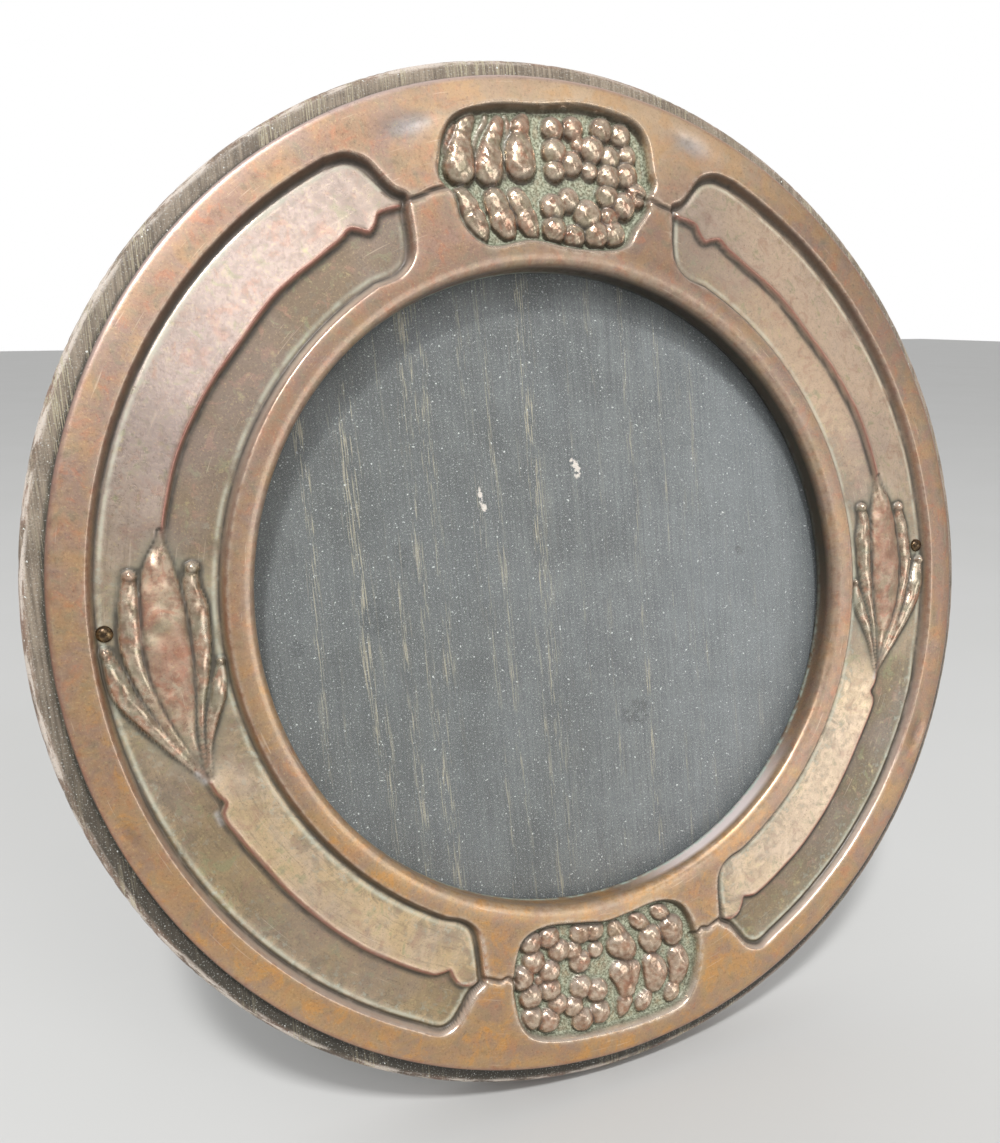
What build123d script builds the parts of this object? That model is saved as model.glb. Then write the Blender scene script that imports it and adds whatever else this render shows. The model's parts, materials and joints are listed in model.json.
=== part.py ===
from build123d import *
import math
import os

# Round standing photo frame: an embossed copper ring pinned to a dark oak ring, with glass,
# an oak backboard held by four brass turn buttons, and a hinged oak easel strut.
# Everything is drawn in the frame's own plate first: X to the viewer's right, Y up the plate and
# Z out of its front, with Z = 0 on the front face of the oak ring. The plate is then leaned back
# and stood on the table. All lengths are in millimetres and all angles in degrees.

# Stance
LEAN = 14.0
STRUT_FROM_VERTICAL = 9.0

# Oak ring
OAK_R = 91.2
OAK_MARGIN = 3.7
OAK_THICK = 10.0
OAK_WEB = 3.0
OAK_FRONT_ROUND = 1.4
OAK_REAR_ROUND = 0.8

# Copper ring: window lip, two raised bands and the sunk panels between them
WINDOW_R = 57.0
SHEET = 0.6
BAND_TOP = 2.8
PANEL_FLOOR = 1.0
INNER_BAND_W = 5.0
OUTER_BAND_W = 6.3
BAND_ROUND = 1.5
LINING_GAP = 0.3
LINING_CLEAR = 0.1

# Side panels: half widths of their ends, and how far out across the panel each point lies
PANEL_END_X = 25.3
PANEL_SWAY_X = 28.8
PANEL_ROUND_X = 33.5
PANEL_START_X = 38.0
PANEL_TIP_SHARE = 0.49
PANEL_SWAY_SHARE = 0.70
PANEL_ROUND_SHARE = 0.92
PANEL_CORNER_R = 3.0
PANEL_CORNER_BOW = 0.9
RIDGE_R = 0.9
RIDGE_SINK = 0.3
RIDGE_FROM = 16.0
RIDGE_TO = 64.0

# Ornament panels at the top and bottom
CARTOUCHE_HALF_W = 19.5
CARTOUCHE_MARGIN = 1.2
CARTOUCHE_WAIST = 1.4
CARTOUCHE_CORNER_R = 4.5
BERRY_R = 1.9
BERRY_RISE = 1.4
BERRY_GAP = 0.3
BERRY_FIRST_X = 2.6
BERRY_ROWS = 4
BERRY_COLUMNS = 4
POD_R = 2.2
POD_RISE = 1.5
POD_LEN = 8.2
POD_GAP = 1.3
POD_FIRST_X = 3.6
POD_ROW_Y = 3.0
POD_COUNT = 3
POD_TILT = 10.0

# Flowers on the side panels
BUD_LEN = 37.0
BUD_HALF_W = 3.5
BUD_RISE = 1.3
BUD_INSET = 0.6
PETAL_R = 1.1
PETAL_TAIL_R = 0.5
PETAL_RISE = 0.8
INNER_PETAL_LEN = 28.0
OUTER_PETAL_LEN = 17.5
FLOWER_FOOT_Y = -20.5

# Pins that hold the copper to the oak
PIN_SHANK_R = 0.65
PIN_HEAD_R = 1.3
PIN_HEAD_RISE = 0.8
PIN_DEPTH = 6.0
PIN_Y = 2.2
PIN_WALL_GAP = 0.3

# Glass and backboard
REBATE_LAP = 4.7
REBATE_GAP = 0.4
GLASS_THICK = 2.0
BOARD_RECESS = 0.2

# Turn buttons
BUTTON_COUNT = 4
BUTTON_LEN = 20.0
BUTTON_W = 7.0
BUTTON_THICK = 1.2
BUTTON_LAP = 5.0
BUTTON_PIVOT_TO_TIP = 11.5
BUTTON_SCREW_R = 1.2
BUTTON_HEAD_R = 2.6
BUTTON_HEAD_RISE = 1.2
BUTTON_SCREW_DEPTH = 6.0
LIFT = 0.1

# Strut and its hinge
HINGE_Y = 34.0
HINGE_LEN = 26.0
KNUCKLE_R = 1.9
HINGE_PIN_R = 0.9
MIDDLE_KNUCKLE = 8.6
KNUCKLE_GAP = 0.3
LEAF_THICK = 0.8
LEAF_RUN = 16.0
LEAF_SCREW_RUN = 11.5
LEAF_SCREW_SPREAD = 8.0
LEAF_SCREW_R = 1.0
LEAF_SCREW_HEAD_R = 1.9
LEAF_SCREW_LEN = 4.2
STRUT_THICK = 6.0
STRUT_TOP_W = 30.0
STRUT_FOOT_W = 42.0
STRUT_HEAD = 8.0
STRUT_OFF_BOARD = 1.0
STOP_GAP = 0.1

# Clearances
RUNNING_GAP = 0.05
SCREW_GAP = 0.02

# Derived sizes
COPPER_R = OAK_R - OAK_MARGIN
BAND_IN_R = WINDOW_R + INNER_BAND_W
BAND_OUT_R = COPPER_R - OUTER_BAND_W
FLOOR_UNDER = PANEL_FLOOR - SHEET
FLOOR_MID = PANEL_FLOOR - SHEET / 2
TOP_UNDER = BAND_TOP - SHEET
PANEL_W = BAND_OUT_R - BAND_IN_R
PANEL_MID_R = (BAND_IN_R + BAND_OUT_R) / 2
OAK_BORE_R = WINDOW_R + SHEET + LINING_GAP
REBATE_R = OAK_BORE_R + REBATE_LAP
INSERT_R = REBATE_R - REBATE_GAP
GLASS_FRONT = -OAK_WEB
BOARD_FRONT = GLASS_FRONT - GLASS_THICK
OAK_BACK = -OAK_THICK
BOARD_BACK = OAK_BACK + BOARD_RECESS
PIN_X = BAND_OUT_R - PIN_HEAD_R - PIN_WALL_GAP
BUTTON_PIVOT_R = INSERT_R - BUTTON_LAP + BUTTON_PIVOT_TO_TIP
STRUT_OPEN = LEAN + STRUT_FROM_VERTICAL
HINGE_Z = BOARD_BACK - KNUCKLE_R - LIFT
LEAF_FACE = BOARD_BACK - LEAF_THICK
STRUT_INNER = OAK_BACK - STRUT_OFF_BOARD
STRUT_OUTER = STRUT_INNER - STRUT_THICK
FAR = 4 * OAK_R


def ring_solid(points, rounds=()):
    """Turn a closed outline of (radius, height) points about the plate's axis."""
    outline = Polyline(*points, close=True)
    section = make_face(outline)
    for corner, size in rounds:
        near = section.vertices().sort_by_distance(Vector(*corner))[0]
        section = fillet(near, size)
    return revolve(Plane.XZ * section, Axis.Z)


def rod(radius, low, high, x=0.0, y=0.0):
    """A round bar along the plate's axis between two heights."""
    return Pos(x, y, low) * Cylinder(radius, high - low, align=(Align.CENTER, Align.CENTER, Align.MIN))


def cross_rod(radius, length, y, z, x=0.0):
    """A round bar across the plate, centred at x."""
    return Pos(x, y, z) * Rot(0, 90, 0) * Cylinder(radius, length)


def slab(x0, x1, y0, y1, z0, z1):
    """A block between its low and high corners."""
    size = Box(x1 - x0, y1 - y0, z1 - z0, align=(Align.MIN, Align.MIN, Align.MIN))
    return Pos(x0, y0, z0) * size


def dome(radius, rise, x, y, z):
    """Half a ball, flattened to a given rise, with its flat side down at z."""
    half = Sphere(radius, arc_size1=0, align=(Align.CENTER, Align.CENTER, Align.MIN))
    return Pos(x, y, z) * scale(half, by=(1, 1, rise / radius))


def raise_sketch(sketch, low, high):
    """Extrude a plate outline between two heights."""
    return extrude(Pos(0, 0, low) * sketch, amount=high - low)


# Outlines of the relief
def height_at(x, radius):
    """Height of a circle about the plate's centre at a given width."""
    return math.sqrt(radius**2 - x**2)


def panel_end(side_x, side_y):
    """Points of one end of a side panel, from the outer band to the inner band."""
    corner_x = PANEL_END_X + PANEL_CORNER_R
    corner_y = height_at(corner_x, BAND_IN_R)
    points = [
        (PANEL_START_X, height_at(PANEL_START_X, BAND_OUT_R)),
        (PANEL_ROUND_X, height_at(PANEL_ROUND_X, BAND_IN_R + PANEL_ROUND_SHARE * PANEL_W)),
        (PANEL_SWAY_X, height_at(PANEL_SWAY_X, BAND_IN_R + PANEL_SWAY_SHARE * PANEL_W)),
        (PANEL_END_X, height_at(PANEL_END_X, BAND_IN_R + PANEL_TIP_SHARE * PANEL_W)),
        (PANEL_END_X, corner_y + PANEL_CORNER_R),
        (corner_x, corner_y),
    ]
    return [(side_x * x, side_y * y) for x, y in points]


def corner_middle(start, end):
    """Middle point of the rounded inner corner of a panel."""
    x = (start[0] + end[0]) / 2 - math.copysign(PANEL_CORNER_BOW, end[0])
    y = (start[1] + end[1]) / 2 - math.copysign(PANEL_CORNER_BOW / 2, end[1])
    return (x, y)


def panel_outline(side):
    """The sunk panel on one side: two band edges joined by its upper and lower ends."""
    upper = panel_end(side, 1)
    lower = panel_end(side, -1)
    edges = []
    for end in (upper, lower):
        lobe = ThreePointArc(*end[:3])
        edges.append(lobe)
        edges.append(TangentArc(end[2], end[3], tangent=lobe % 1))
        edges.append(Line(end[3], end[4]))
        edges.append(ThreePointArc(end[4], corner_middle(end[4], end[5]), end[5]))
    edges.append(ThreePointArc(upper[0], (side * BAND_OUT_R, 0), lower[0]))
    edges.append(ThreePointArc(upper[5], (side * BAND_IN_R, 0), lower[5]))
    return make_face(Wire(edges))


def cartouche_outline(side):
    """The sunk ornament panel at the top or bottom, with a point at each side."""
    outer = BAND_OUT_R + CARTOUCHE_MARGIN
    inner = BAND_IN_R - CARTOUCHE_MARGIN
    middle = (outer + inner) / 2
    half_w = CARTOUCHE_HALF_W
    top_half = half_w - CARTOUCHE_CORNER_R / 2
    foot_half = top_half - CARTOUCHE_MARGIN
    right = [
        (top_half, height_at(top_half, outer) + CARTOUCHE_MARGIN / 2),
        (half_w, middle + CARTOUCHE_WAIST),
        (half_w + CARTOUCHE_WAIST, middle),
        (half_w, middle - CARTOUCHE_WAIST),
        (foot_half, inner),
    ]
    left = [(-x, y) for x, y in reversed(right)]
    outline = make_face(Polyline(*[(x, side * y) for x, y in right + left], close=True))
    corners = [v for v in outline.vertices() if abs(abs(v.Y) - middle) > 2 * CARTOUCHE_WAIST]
    return fillet(corners, CARTOUCHE_CORNER_R)


# Ornaments in relief, each standing in the sheet of the panel floor
def fused(bodies):
    """One body from several, joined one after another."""
    whole = bodies[0]
    for body in bodies[1:]:
        whole += body
    return whole


def berry(x, y):
    """A round boss on the panel floor."""
    ball = Sphere(BERRY_R, arc_size1=0, align=(Align.CENTER, Align.CENTER, Align.MIN))
    return Pos(x, y, PANEL_FLOOR + BERRY_RISE - BERRY_R) * ball


def pod(x, y, heading):
    """A half teardrop lying on the floor: round bulb at (x, y), tail pointing along heading."""
    reach = POD_LEN - POD_R
    slope = math.asin(POD_R / reach)
    touch = (POD_R * math.sin(slope), POD_R * math.cos(slope))
    side = POD_R * math.sqrt(0.5)
    edges = [
        Line((-POD_R, 0), (reach, 0)),
        Line((reach, 0), touch),
        ThreePointArc(touch, (-side, side), (-POD_R, 0)),
    ]
    body = revolve(make_face(Wire(edges)), Axis.X, 180)
    return Pos(x, y, PANEL_FLOOR + POD_RISE - POD_R) * Rot(0, 0, heading) * body


def flower(side):
    """A pointed bud with two narrow petals on each side, all drawn in to one stalk."""
    foot_x = side * (PANEL_MID_R - BUD_INSET)
    half = BUD_LEN / 2
    bulge = (BUD_HALF_W**2 + BUD_RISE**2) / (2 * BUD_RISE)
    sink = bulge - BUD_RISE
    end_r = sink - SHEET / 2
    edges = [
        Line((-half, end_r), (-half, 0)),
        Line((-half, 0), (half, 0)),
        Line((half, 0), (half, end_r)),
        ThreePointArc((half, end_r), (0, bulge), (-half, end_r)),
    ]
    bud = revolve(make_face(Wire(edges)), Axis.X, 180)
    bud = Pos(foot_x, FLOWER_FOOT_Y + half, PANEL_FLOOR - sink) * Rot(0, 0, 90) * bud
    inner_x = BUD_HALF_W + PETAL_R
    outer_x = 2 * BUD_HALF_W + PETAL_R
    petals = []
    for dx, dy in ((inner_x, INNER_PETAL_LEN), (outer_x, OUTER_PETAL_LEN)):
        for hand in (-1, 1):
            head = Pos(foot_x + hand * dx, FLOWER_FOOT_Y + dy) * Circle(PETAL_R)
            tail = Pos(foot_x + hand * PETAL_TAIL_R * dx / outer_x, FLOWER_FOOT_Y) * Circle(PETAL_TAIL_R)
            petals.append(make_hull(head.edges() + tail.edges()))
    return fused([bud, raise_sketch(fused(petals), FLOOR_MID, PANEL_FLOOR + PETAL_RISE)])


def cartouche_relief(side):
    """Pods on one half of an ornament panel and berries on the other, in rows."""
    pods_side = -side
    bodies = []
    for i in range(POD_COUNT):
        x = pods_side * (POD_FIRST_X + i * (2 * POD_R + POD_GAP))
        for row in (-1, 1):
            heading = row * 90 - row * pods_side * POD_TILT
            y = side * PANEL_MID_R + row * POD_ROW_Y
            bodies.append(pod(x, y, heading))
    step = 2 * BERRY_R + BERRY_GAP
    for row in range(BERRY_ROWS):
        y = side * PANEL_MID_R + (row - (BERRY_ROWS - 1) / 2) * step
        shift = (row % 2) * BERRY_R / 2
        middle_row = 0 < row < BERRY_ROWS - 1
        for column in range(BERRY_COLUMNS if middle_row else BERRY_COLUMNS - 1):
            bodies.append(berry(-pods_side * (BERRY_FIRST_X + column * step + shift), y))
    return fused(bodies)


def panel_ridges():
    """The raised line along the middle of each side panel, above and below the flower."""
    section = Plane.XZ * (Pos(PANEL_MID_R, PANEL_FLOOR - RIDGE_SINK) * Circle(RIDGE_R))
    arc = revolve(section, Axis.Z, RIDGE_TO - RIDGE_FROM)
    starts = (RIDGE_FROM, 180 - RIDGE_TO, 180 + RIDGE_FROM, 360 - RIDGE_TO)
    return fused([Rot(0, 0, start) * arc for start in starts])


def make_copper_front():
    """Sheet copper ring: two raised bands, lining of the window, sunk panels and ornament."""
    lining_end = GLASS_FRONT + LINING_CLEAR
    inner_round = BAND_ROUND - SHEET
    body = ring_solid(
        [
            (WINDOW_R, lining_end),
            (WINDOW_R + SHEET, lining_end),
            (WINDOW_R + SHEET, FLOOR_UNDER),
            (COPPER_R - SHEET, FLOOR_UNDER),
            (COPPER_R - SHEET, 0),
            (COPPER_R, 0),
            (COPPER_R, BAND_TOP),
            (WINDOW_R, BAND_TOP),
        ],
        [((COPPER_R, BAND_TOP), BAND_ROUND), ((WINDOW_R, BAND_TOP), BAND_ROUND)],
    )
    hollow = ring_solid(
        [
            (WINDOW_R + SHEET, FLOOR_UNDER),
            (COPPER_R - SHEET, FLOOR_UNDER),
            (COPPER_R - SHEET, TOP_UNDER),
            (WINDOW_R + SHEET, TOP_UNDER),
        ],
        [((COPPER_R - SHEET, TOP_UNDER), inner_round), ((WINDOW_R + SHEET, TOP_UNDER), inner_round)],
    )
    ornaments = [panel_ridges()]
    for side in (-1, 1):
        for sunk in (panel_outline(side), cartouche_outline(side)):
            body -= raise_sketch(sunk, PANEL_FLOOR, BAND_TOP + SHEET)
            hollow -= raise_sketch(offset(sunk, SHEET), FLOOR_UNDER - SHEET, BAND_TOP)
        ornaments += [cartouche_relief(side), flower(side)]
    body = fused([body - hollow] + ornaments)
    body -= raise_sketch(Circle(COPPER_R - SHEET) - Circle(WINDOW_R + SHEET), -OAK_THICK, FLOOR_UNDER)
    for side in (-1, 1):
        body -= rod(PIN_SHANK_R + RUNNING_GAP, 0, BAND_TOP, side * PIN_X, PIN_Y)
        body -= rod(PIN_HEAD_R + RUNNING_GAP, PANEL_FLOOR, BAND_TOP, side * PIN_X, PIN_Y)
    return body


def make_copper_pins():
    """Two dome-headed pins through the panels into the oak."""
    pins = []
    for side in (-1, 1):
        head = dome(PIN_HEAD_R, PIN_HEAD_RISE, side * PIN_X, PIN_Y, PANEL_FLOOR)
        pins.append(head + rod(PIN_SHANK_R, -PIN_DEPTH, PANEL_FLOOR, side * PIN_X, PIN_Y))
    return pins


def make_oak_ring():
    """Turned oak ring with a rear rebate, and holes for the pins and the button screws."""
    body = ring_solid(
        [
            (OAK_BORE_R, 0),
            (OAK_R, 0),
            (OAK_R, OAK_BACK),
            (REBATE_R, OAK_BACK),
            (REBATE_R, GLASS_FRONT),
            (OAK_BORE_R, GLASS_FRONT),
        ],
        [((OAK_R, 0), OAK_FRONT_ROUND), ((OAK_R, OAK_BACK), OAK_REAR_ROUND)],
    )
    for side in (-1, 1):
        body -= rod(PIN_SHANK_R + SCREW_GAP, -PIN_DEPTH - SCREW_GAP, 0, side * PIN_X, PIN_Y)
    depth = BUTTON_SCREW_DEPTH + SCREW_GAP
    for x, y, _ in button_places():
        body -= rod(BUTTON_SCREW_R + SCREW_GAP, OAK_BACK, OAK_BACK + depth, x, y)
    return body


def make_glass_pane():
    """Clear round pane against the shoulder of the rebate."""
    return rod(INSERT_R, BOARD_FRONT, GLASS_FRONT)


def make_backboard():
    """Oak disc behind the glass, drilled for the hinge screws."""
    body = rod(INSERT_R, BOARD_BACK, BOARD_FRONT)
    for x, y in leaf_screw_places(1):
        body -= rod(LEAF_SCREW_R + SCREW_GAP, BOARD_BACK, LEAF_FACE + LEAF_SCREW_LEN + SCREW_GAP, x, y)
    return body


# Turn buttons
def button_places():
    """Pivot of each turn button, and the angle of its arm, which points to the centre."""
    for i in range(BUTTON_COUNT):
        angle = 360.0 / BUTTON_COUNT * (i + 0.5)
        x = BUTTON_PIVOT_R * math.cos(math.radians(angle))
        y = BUTTON_PIVOT_R * math.sin(math.radians(angle))
        yield x, y, angle


def make_turn_button(x, y, angle):
    """A flat brass button with rounded ends and a pivot hole."""
    centre = BUTTON_LEN / 2 - BUTTON_PIVOT_TO_TIP
    outline = Pos(centre, 0) * SlotOverall(BUTTON_LEN, BUTTON_W)
    outline -= Circle(BUTTON_SCREW_R + RUNNING_GAP)
    low = OAK_BACK - LIFT - BUTTON_THICK
    return Pos(x, y, 0) * Rot(0, 0, angle) * raise_sketch(outline, low, low + BUTTON_THICK)


def make_turn_button_screws():
    """A domed screw at each turn button's pivot."""
    seat = OAK_BACK - LIFT - BUTTON_THICK - LIFT
    screws = []
    for x, y, _ in button_places():
        head = Pos(x, y, seat) * Rot(180, 0, 0) * dome(BUTTON_HEAD_R, BUTTON_HEAD_RISE, 0, 0, 0)
        screws.append(head + rod(BUTTON_SCREW_R, seat, OAK_BACK + BUTTON_SCREW_DEPTH, x, y))
    return screws


# Hinge and strut, drawn with the strut folded flat against the back
def leaf_screw_places(side):
    """Screw centres of the leaf above (1) or below (-1) the hinge pin."""
    for spread in (-1, 1):
        yield spread * LEAF_SCREW_SPREAD, HINGE_Y + side * LEAF_SCREW_RUN


def knuckle(low_x, high_x):
    """One barrel of the hinge, along the pin."""
    return cross_rod(KNUCKLE_R, high_x - low_x, HINGE_Y, HINGE_Z, (low_x + high_x) / 2)


def make_leaf(side, leaf_back):
    """One hinge leaf: its plate, its knuckles, the pin hole and two countersunk screw holes."""
    half = HINGE_LEN / 2
    middle = MIDDLE_KNUCKLE / 2
    far_y = HINGE_Y + side * LEAF_RUN
    clear = KNUCKLE_R + KNUCKLE_GAP
    plate = slab(-half, half, min(HINGE_Y, far_y), max(HINGE_Y, far_y), leaf_back - LEAF_THICK, leaf_back)
    if side > 0:
        spans = [(-half, -middle - KNUCKLE_GAP), (middle + KNUCKLE_GAP, half)]
        gaps = [(-middle - KNUCKLE_GAP, middle + KNUCKLE_GAP)]
    else:
        spans = [(-middle, middle)]
        gaps = [(-half, -middle), (middle, half)]
    for low_x, high_x in gaps:
        plate -= slab(low_x, high_x, HINGE_Y - clear, HINGE_Y + clear, -FAR, FAR)
    for low_x, high_x in spans:
        plate += knuckle(low_x, high_x)
    plate -= cross_rod(HINGE_PIN_R + RUNNING_GAP, 2 * HINGE_LEN, HINGE_Y, HINGE_Z)
    for x, y in leaf_screw_places(side):
        plate -= rod(LEAF_SCREW_R + SCREW_GAP, leaf_back - LEAF_THICK, leaf_back, x, y)
        plate -= screw_head(x, y, leaf_back, side, SCREW_GAP)
    return plate


def screw_head(x, y, leaf_back, side, gap=0.0):
    """Countersunk screw head, flush with the leaf's open face."""
    wide = LEAF_SCREW_HEAD_R + gap
    narrow = LEAF_SCREW_R + gap
    flip = 180 if side > 0 else 0
    middle = leaf_back - LEAF_THICK / 2
    return Pos(x, y, middle) * Rot(flip, 0, 0) * Cone(narrow, wide, LEAF_THICK)


def make_leaf_screws(side, leaf_back):
    """The two screws of one leaf."""
    screws = []
    for x, y in leaf_screw_places(side):
        if side > 0:
            shank = rod(LEAF_SCREW_R, leaf_back - LEAF_THICK, leaf_back - LEAF_THICK + LEAF_SCREW_LEN, x, y)
        else:
            shank = rod(LEAF_SCREW_R, leaf_back - LEAF_SCREW_LEN, leaf_back, x, y)
        screws.append(shank + screw_head(x, y, leaf_back, side))
    return screws


def make_hinge_pin():
    """Pin through the knuckles, with a low head at each end."""
    head = HINGE_PIN_R + RUNNING_GAP + LIFT
    pin = cross_rod(HINGE_PIN_R, HINGE_LEN + 2 * LIFT, HINGE_Y, HINGE_Z)
    for side in (-1, 1):
        pin += cross_rod(head, LEAF_THICK, HINGE_Y, HINGE_Z, side * (HINGE_LEN / 2 + LIFT + LEAF_THICK / 2))
    return pin


def open_strut(shape):
    """Turn a piece drawn folded flat to the strut's open place."""
    return Pos(0, HINGE_Y, HINGE_Z) * Rot(STRUT_OPEN, 0, 0) * Pos(0, -HINGE_Y, -HINGE_Z) * shape


def make_strut():
    """Tapered oak strut with a bevelled head, which bears on the upper leaf when it is open."""
    top = HINGE_Y + STRUT_HEAD
    low = HINGE_Y - 2 * OAK_R
    spread = (STRUT_FOOT_W - STRUT_TOP_W) / (OAK_R + HINGE_Y) / 2
    low_half = STRUT_TOP_W / 2 + spread * (top - low)
    outline = make_face(
        Polyline(
            (-STRUT_TOP_W / 2, top), (STRUT_TOP_W / 2, top), (low_half, low), (-low_half, low), close=True
        )
    )
    body = raise_sketch(outline, STRUT_OUTER, STRUT_INNER)
    body -= cross_rod(KNUCKLE_R + KNUCKLE_GAP, 2 * STRUT_FOOT_W, HINGE_Y, HINGE_Z)
    half = HINGE_LEN / 2 + SCREW_GAP
    mortise_low = HINGE_Y - LEAF_RUN - SCREW_GAP
    body -= slab(-half, half, mortise_low, HINGE_Y, STRUT_INNER - LEAF_THICK, STRUT_INNER)
    for x, y in leaf_screw_places(-1):
        body -= rod(LEAF_SCREW_R + SCREW_GAP, STRUT_INNER - LEAF_SCREW_LEN - SCREW_GAP, STRUT_INNER, x, y)
    body = open_strut(body)
    return body - slab(-FAR, FAR, -FAR, FAR, LEAF_FACE - STOP_GAP, FAR)


# Placing: lean the plate back, stand it on its rear lower edge and centre it over the table
plate_z = (OAK_R - OAK_REAR_ROUND) * math.cos(math.radians(LEAN))
plate_z += (OAK_THICK - OAK_REAR_ROUND) * math.sin(math.radians(LEAN)) + OAK_REAR_ROUND
leaned = Pos(0, 0, plate_z) * Rot(90 - LEAN, 0, 0)
floor_cut = slab(-FAR, FAR, -FAR, FAR, -FAR, 0)

nodes = {
    "oak_ring": leaned * make_oak_ring(),
    "copper_front": leaned * make_copper_front(),
    "copper_pins": [leaned * pin for pin in make_copper_pins()],
    "glass_pane": leaned * make_glass_pane(),
    "backboard": leaned * make_backboard(),
    "turn_button_screws": [leaned * screw for screw in make_turn_button_screws()],
    "hinge_leaf_board": leaned * make_leaf(1, BOARD_BACK),
    "hinge_screws_board": [leaned * screw for screw in make_leaf_screws(1, BOARD_BACK)],
    "hinge_pin": leaned * make_hinge_pin(),
    "hinge_leaf_strut": leaned * open_strut(make_leaf(-1, STRUT_INNER)),
    "hinge_screws_strut": [leaned * open_strut(screw) for screw in make_leaf_screws(-1, STRUT_INNER)],
    "strut": leaned * make_strut() - floor_cut,
}
corner_names = ["upper_right", "upper_left", "lower_left", "lower_right"]
for place, corner in zip(button_places(), corner_names):
    nodes["turn_button_" + corner] = leaned * make_turn_button(*place)

pieces = {}
for name, shape in nodes.items():
    shapes = shape if isinstance(shape, list) else [shape]
    pieces[name] = [solid for one in shapes for solid in one.solids()]
boxes = [solid.bounding_box() for solids in pieces.values() for solid in solids]
front_y = min(box.min.Y for box in boxes)
rear_y = max(box.max.Y for box in boxes)
centred = Pos(0, -(front_y + rear_y) / 2, 0)

os.makedirs("parts", exist_ok=True)
for name, solids in pieces.items():
    placed = [centred * solid for solid in solids]
    export_step(placed[0] if len(placed) == 1 else Compound(children=placed), "parts/" + name + ".step")

row = centred * leaned
print("hinge", (row * Pos(0, HINGE_Y, HINGE_Z)).position)
for place, corner in zip(button_places(), corner_names):
    print("button", corner, (row * Pos(place[0], place[1], OAK_BACK)).position)
print("glass centre", (row * Pos(0, 0, GLASS_FRONT)).position)
print("lip centre", (row * Pos(0, 0, BAND_TOP)).position)
print("plate centre", row.position)
print("front and rear", front_y, rear_y)
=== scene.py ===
import json
import math

import bpy
import numpy as np
from mathutils import Matrix, Vector


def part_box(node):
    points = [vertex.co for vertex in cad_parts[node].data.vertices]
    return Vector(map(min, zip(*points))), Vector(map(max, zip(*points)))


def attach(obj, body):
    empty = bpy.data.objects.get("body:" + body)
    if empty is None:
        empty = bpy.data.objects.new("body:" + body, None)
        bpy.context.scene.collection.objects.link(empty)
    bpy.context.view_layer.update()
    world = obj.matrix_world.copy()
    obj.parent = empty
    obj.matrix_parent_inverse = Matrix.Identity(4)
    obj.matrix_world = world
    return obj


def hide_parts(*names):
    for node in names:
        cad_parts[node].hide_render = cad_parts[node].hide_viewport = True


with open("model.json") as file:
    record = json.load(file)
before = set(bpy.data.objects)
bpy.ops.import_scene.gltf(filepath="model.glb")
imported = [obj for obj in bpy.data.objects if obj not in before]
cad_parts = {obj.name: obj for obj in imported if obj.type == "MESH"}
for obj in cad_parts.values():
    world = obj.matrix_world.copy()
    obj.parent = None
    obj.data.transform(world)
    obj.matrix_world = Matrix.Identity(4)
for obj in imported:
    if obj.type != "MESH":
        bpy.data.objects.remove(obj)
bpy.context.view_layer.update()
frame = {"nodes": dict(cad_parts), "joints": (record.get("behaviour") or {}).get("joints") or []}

# Round standing photo frame: embossed copper ring on a dark oak ring, with a glazed window onto an
# oak board. Sizes are in millimetres on the frame's plate: u to the right, v up the plate and w out
# of its front, with w = 0 on the oak's front face. They become metres in the row frame when placed.

MM = 0.001

# Oak, glass and board, on the plate
OAK_THICK = 10.0
OAK_WEB = 3.0
OAK_ARRIS = 1.4
OAK_REAR_ROUND = 0.8
OAK_BORE_R = 57.9
OAK_COLUMNS = 720
RIM_WEAR = 0.05
RIM_PORES = 0.14
REBATE_R = 62.6
GLASS_MID_W = -4.0
GLASS_FRONT = -3.05
GLASS_BACK = -4.75
GLASS_EDGE = 0.2
DUSTY_EDGE = 7.0
BOARD_FRONT = -5.05
BOARD_BACK = -9.8
BOARD_EDGE = 0.4
DISC_COLUMNS = 240
DISC_MIDDLE_R = 0.2

# The copper's sheet and its bands, which fall away towards the lip and the outer edge
WINDOW_R = 57.0
SHEET = 0.6
BAND_TOP = 2.8
LIP_ROUND = 1.5
EDGE_ROUND = 0.75
LINING_END = -2.9
UNDERSIDE_W = 0.02
OUTER_FALL = 0.2
OUTER_FALL_R = 84.6
OUTER_FALL_WIDE = 2.6
INNER_FALL = 0.22
INNER_FALL_R = 60.6
INNER_FALL_WIDE = 2.4
HAND_WAVE = 0.05
DENT_DEPTH = 0.45

# The copper's mesh: rows of its section, and columns worked out past the ends of a sector
LINING_ROWS = (LINING_END, -2.3, -1.7, -1.0, -0.2)
LIP_ROWS = 9
FACE_ROWS = 108
EDGE_ROWS = 6
FACE_START = len(LINING_ROWS) + LIP_ROWS
FACE_STOP = FACE_START + FACE_ROWS
MARGIN = 12

# Side panels, with walls as (shoulder, foot): how far a wall reaches outside and inside its outline
PANEL_IN_R = 62.0
PANEL_OUT_R = 81.2
PANEL_DEPTH = 1.8
PANEL_WALL = (0.8, 0.6)
PANEL_INNER = 1.2
PANEL_CLEAR_U = 17
ARC_POINTS = 60
FOOT_RISE = 0.9
FOOT_WIDE = 1.7
CRUST_REACH = 4
CREASE_DEPTH = 0.6
CREASE_WIDE = 0.34
RIDGE_RISE = 1.05
RIDGE_STEP = 0.7
RIDGE_LINE_WIDE = 0.32
CREST_RISE = 0.1
CREST_WIDE = 0.4
HIGH_FACET_WIDE = 12
LOW_FACET_RISE = 0.3
LOW_FACET_WIDE = 9
UPPER_RIDGE_END = 6
UPPER_RIDGE_FADE = 14
LOWER_RIDGE_END = 18
LOWER_RIDGE_FADE = 8

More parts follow.
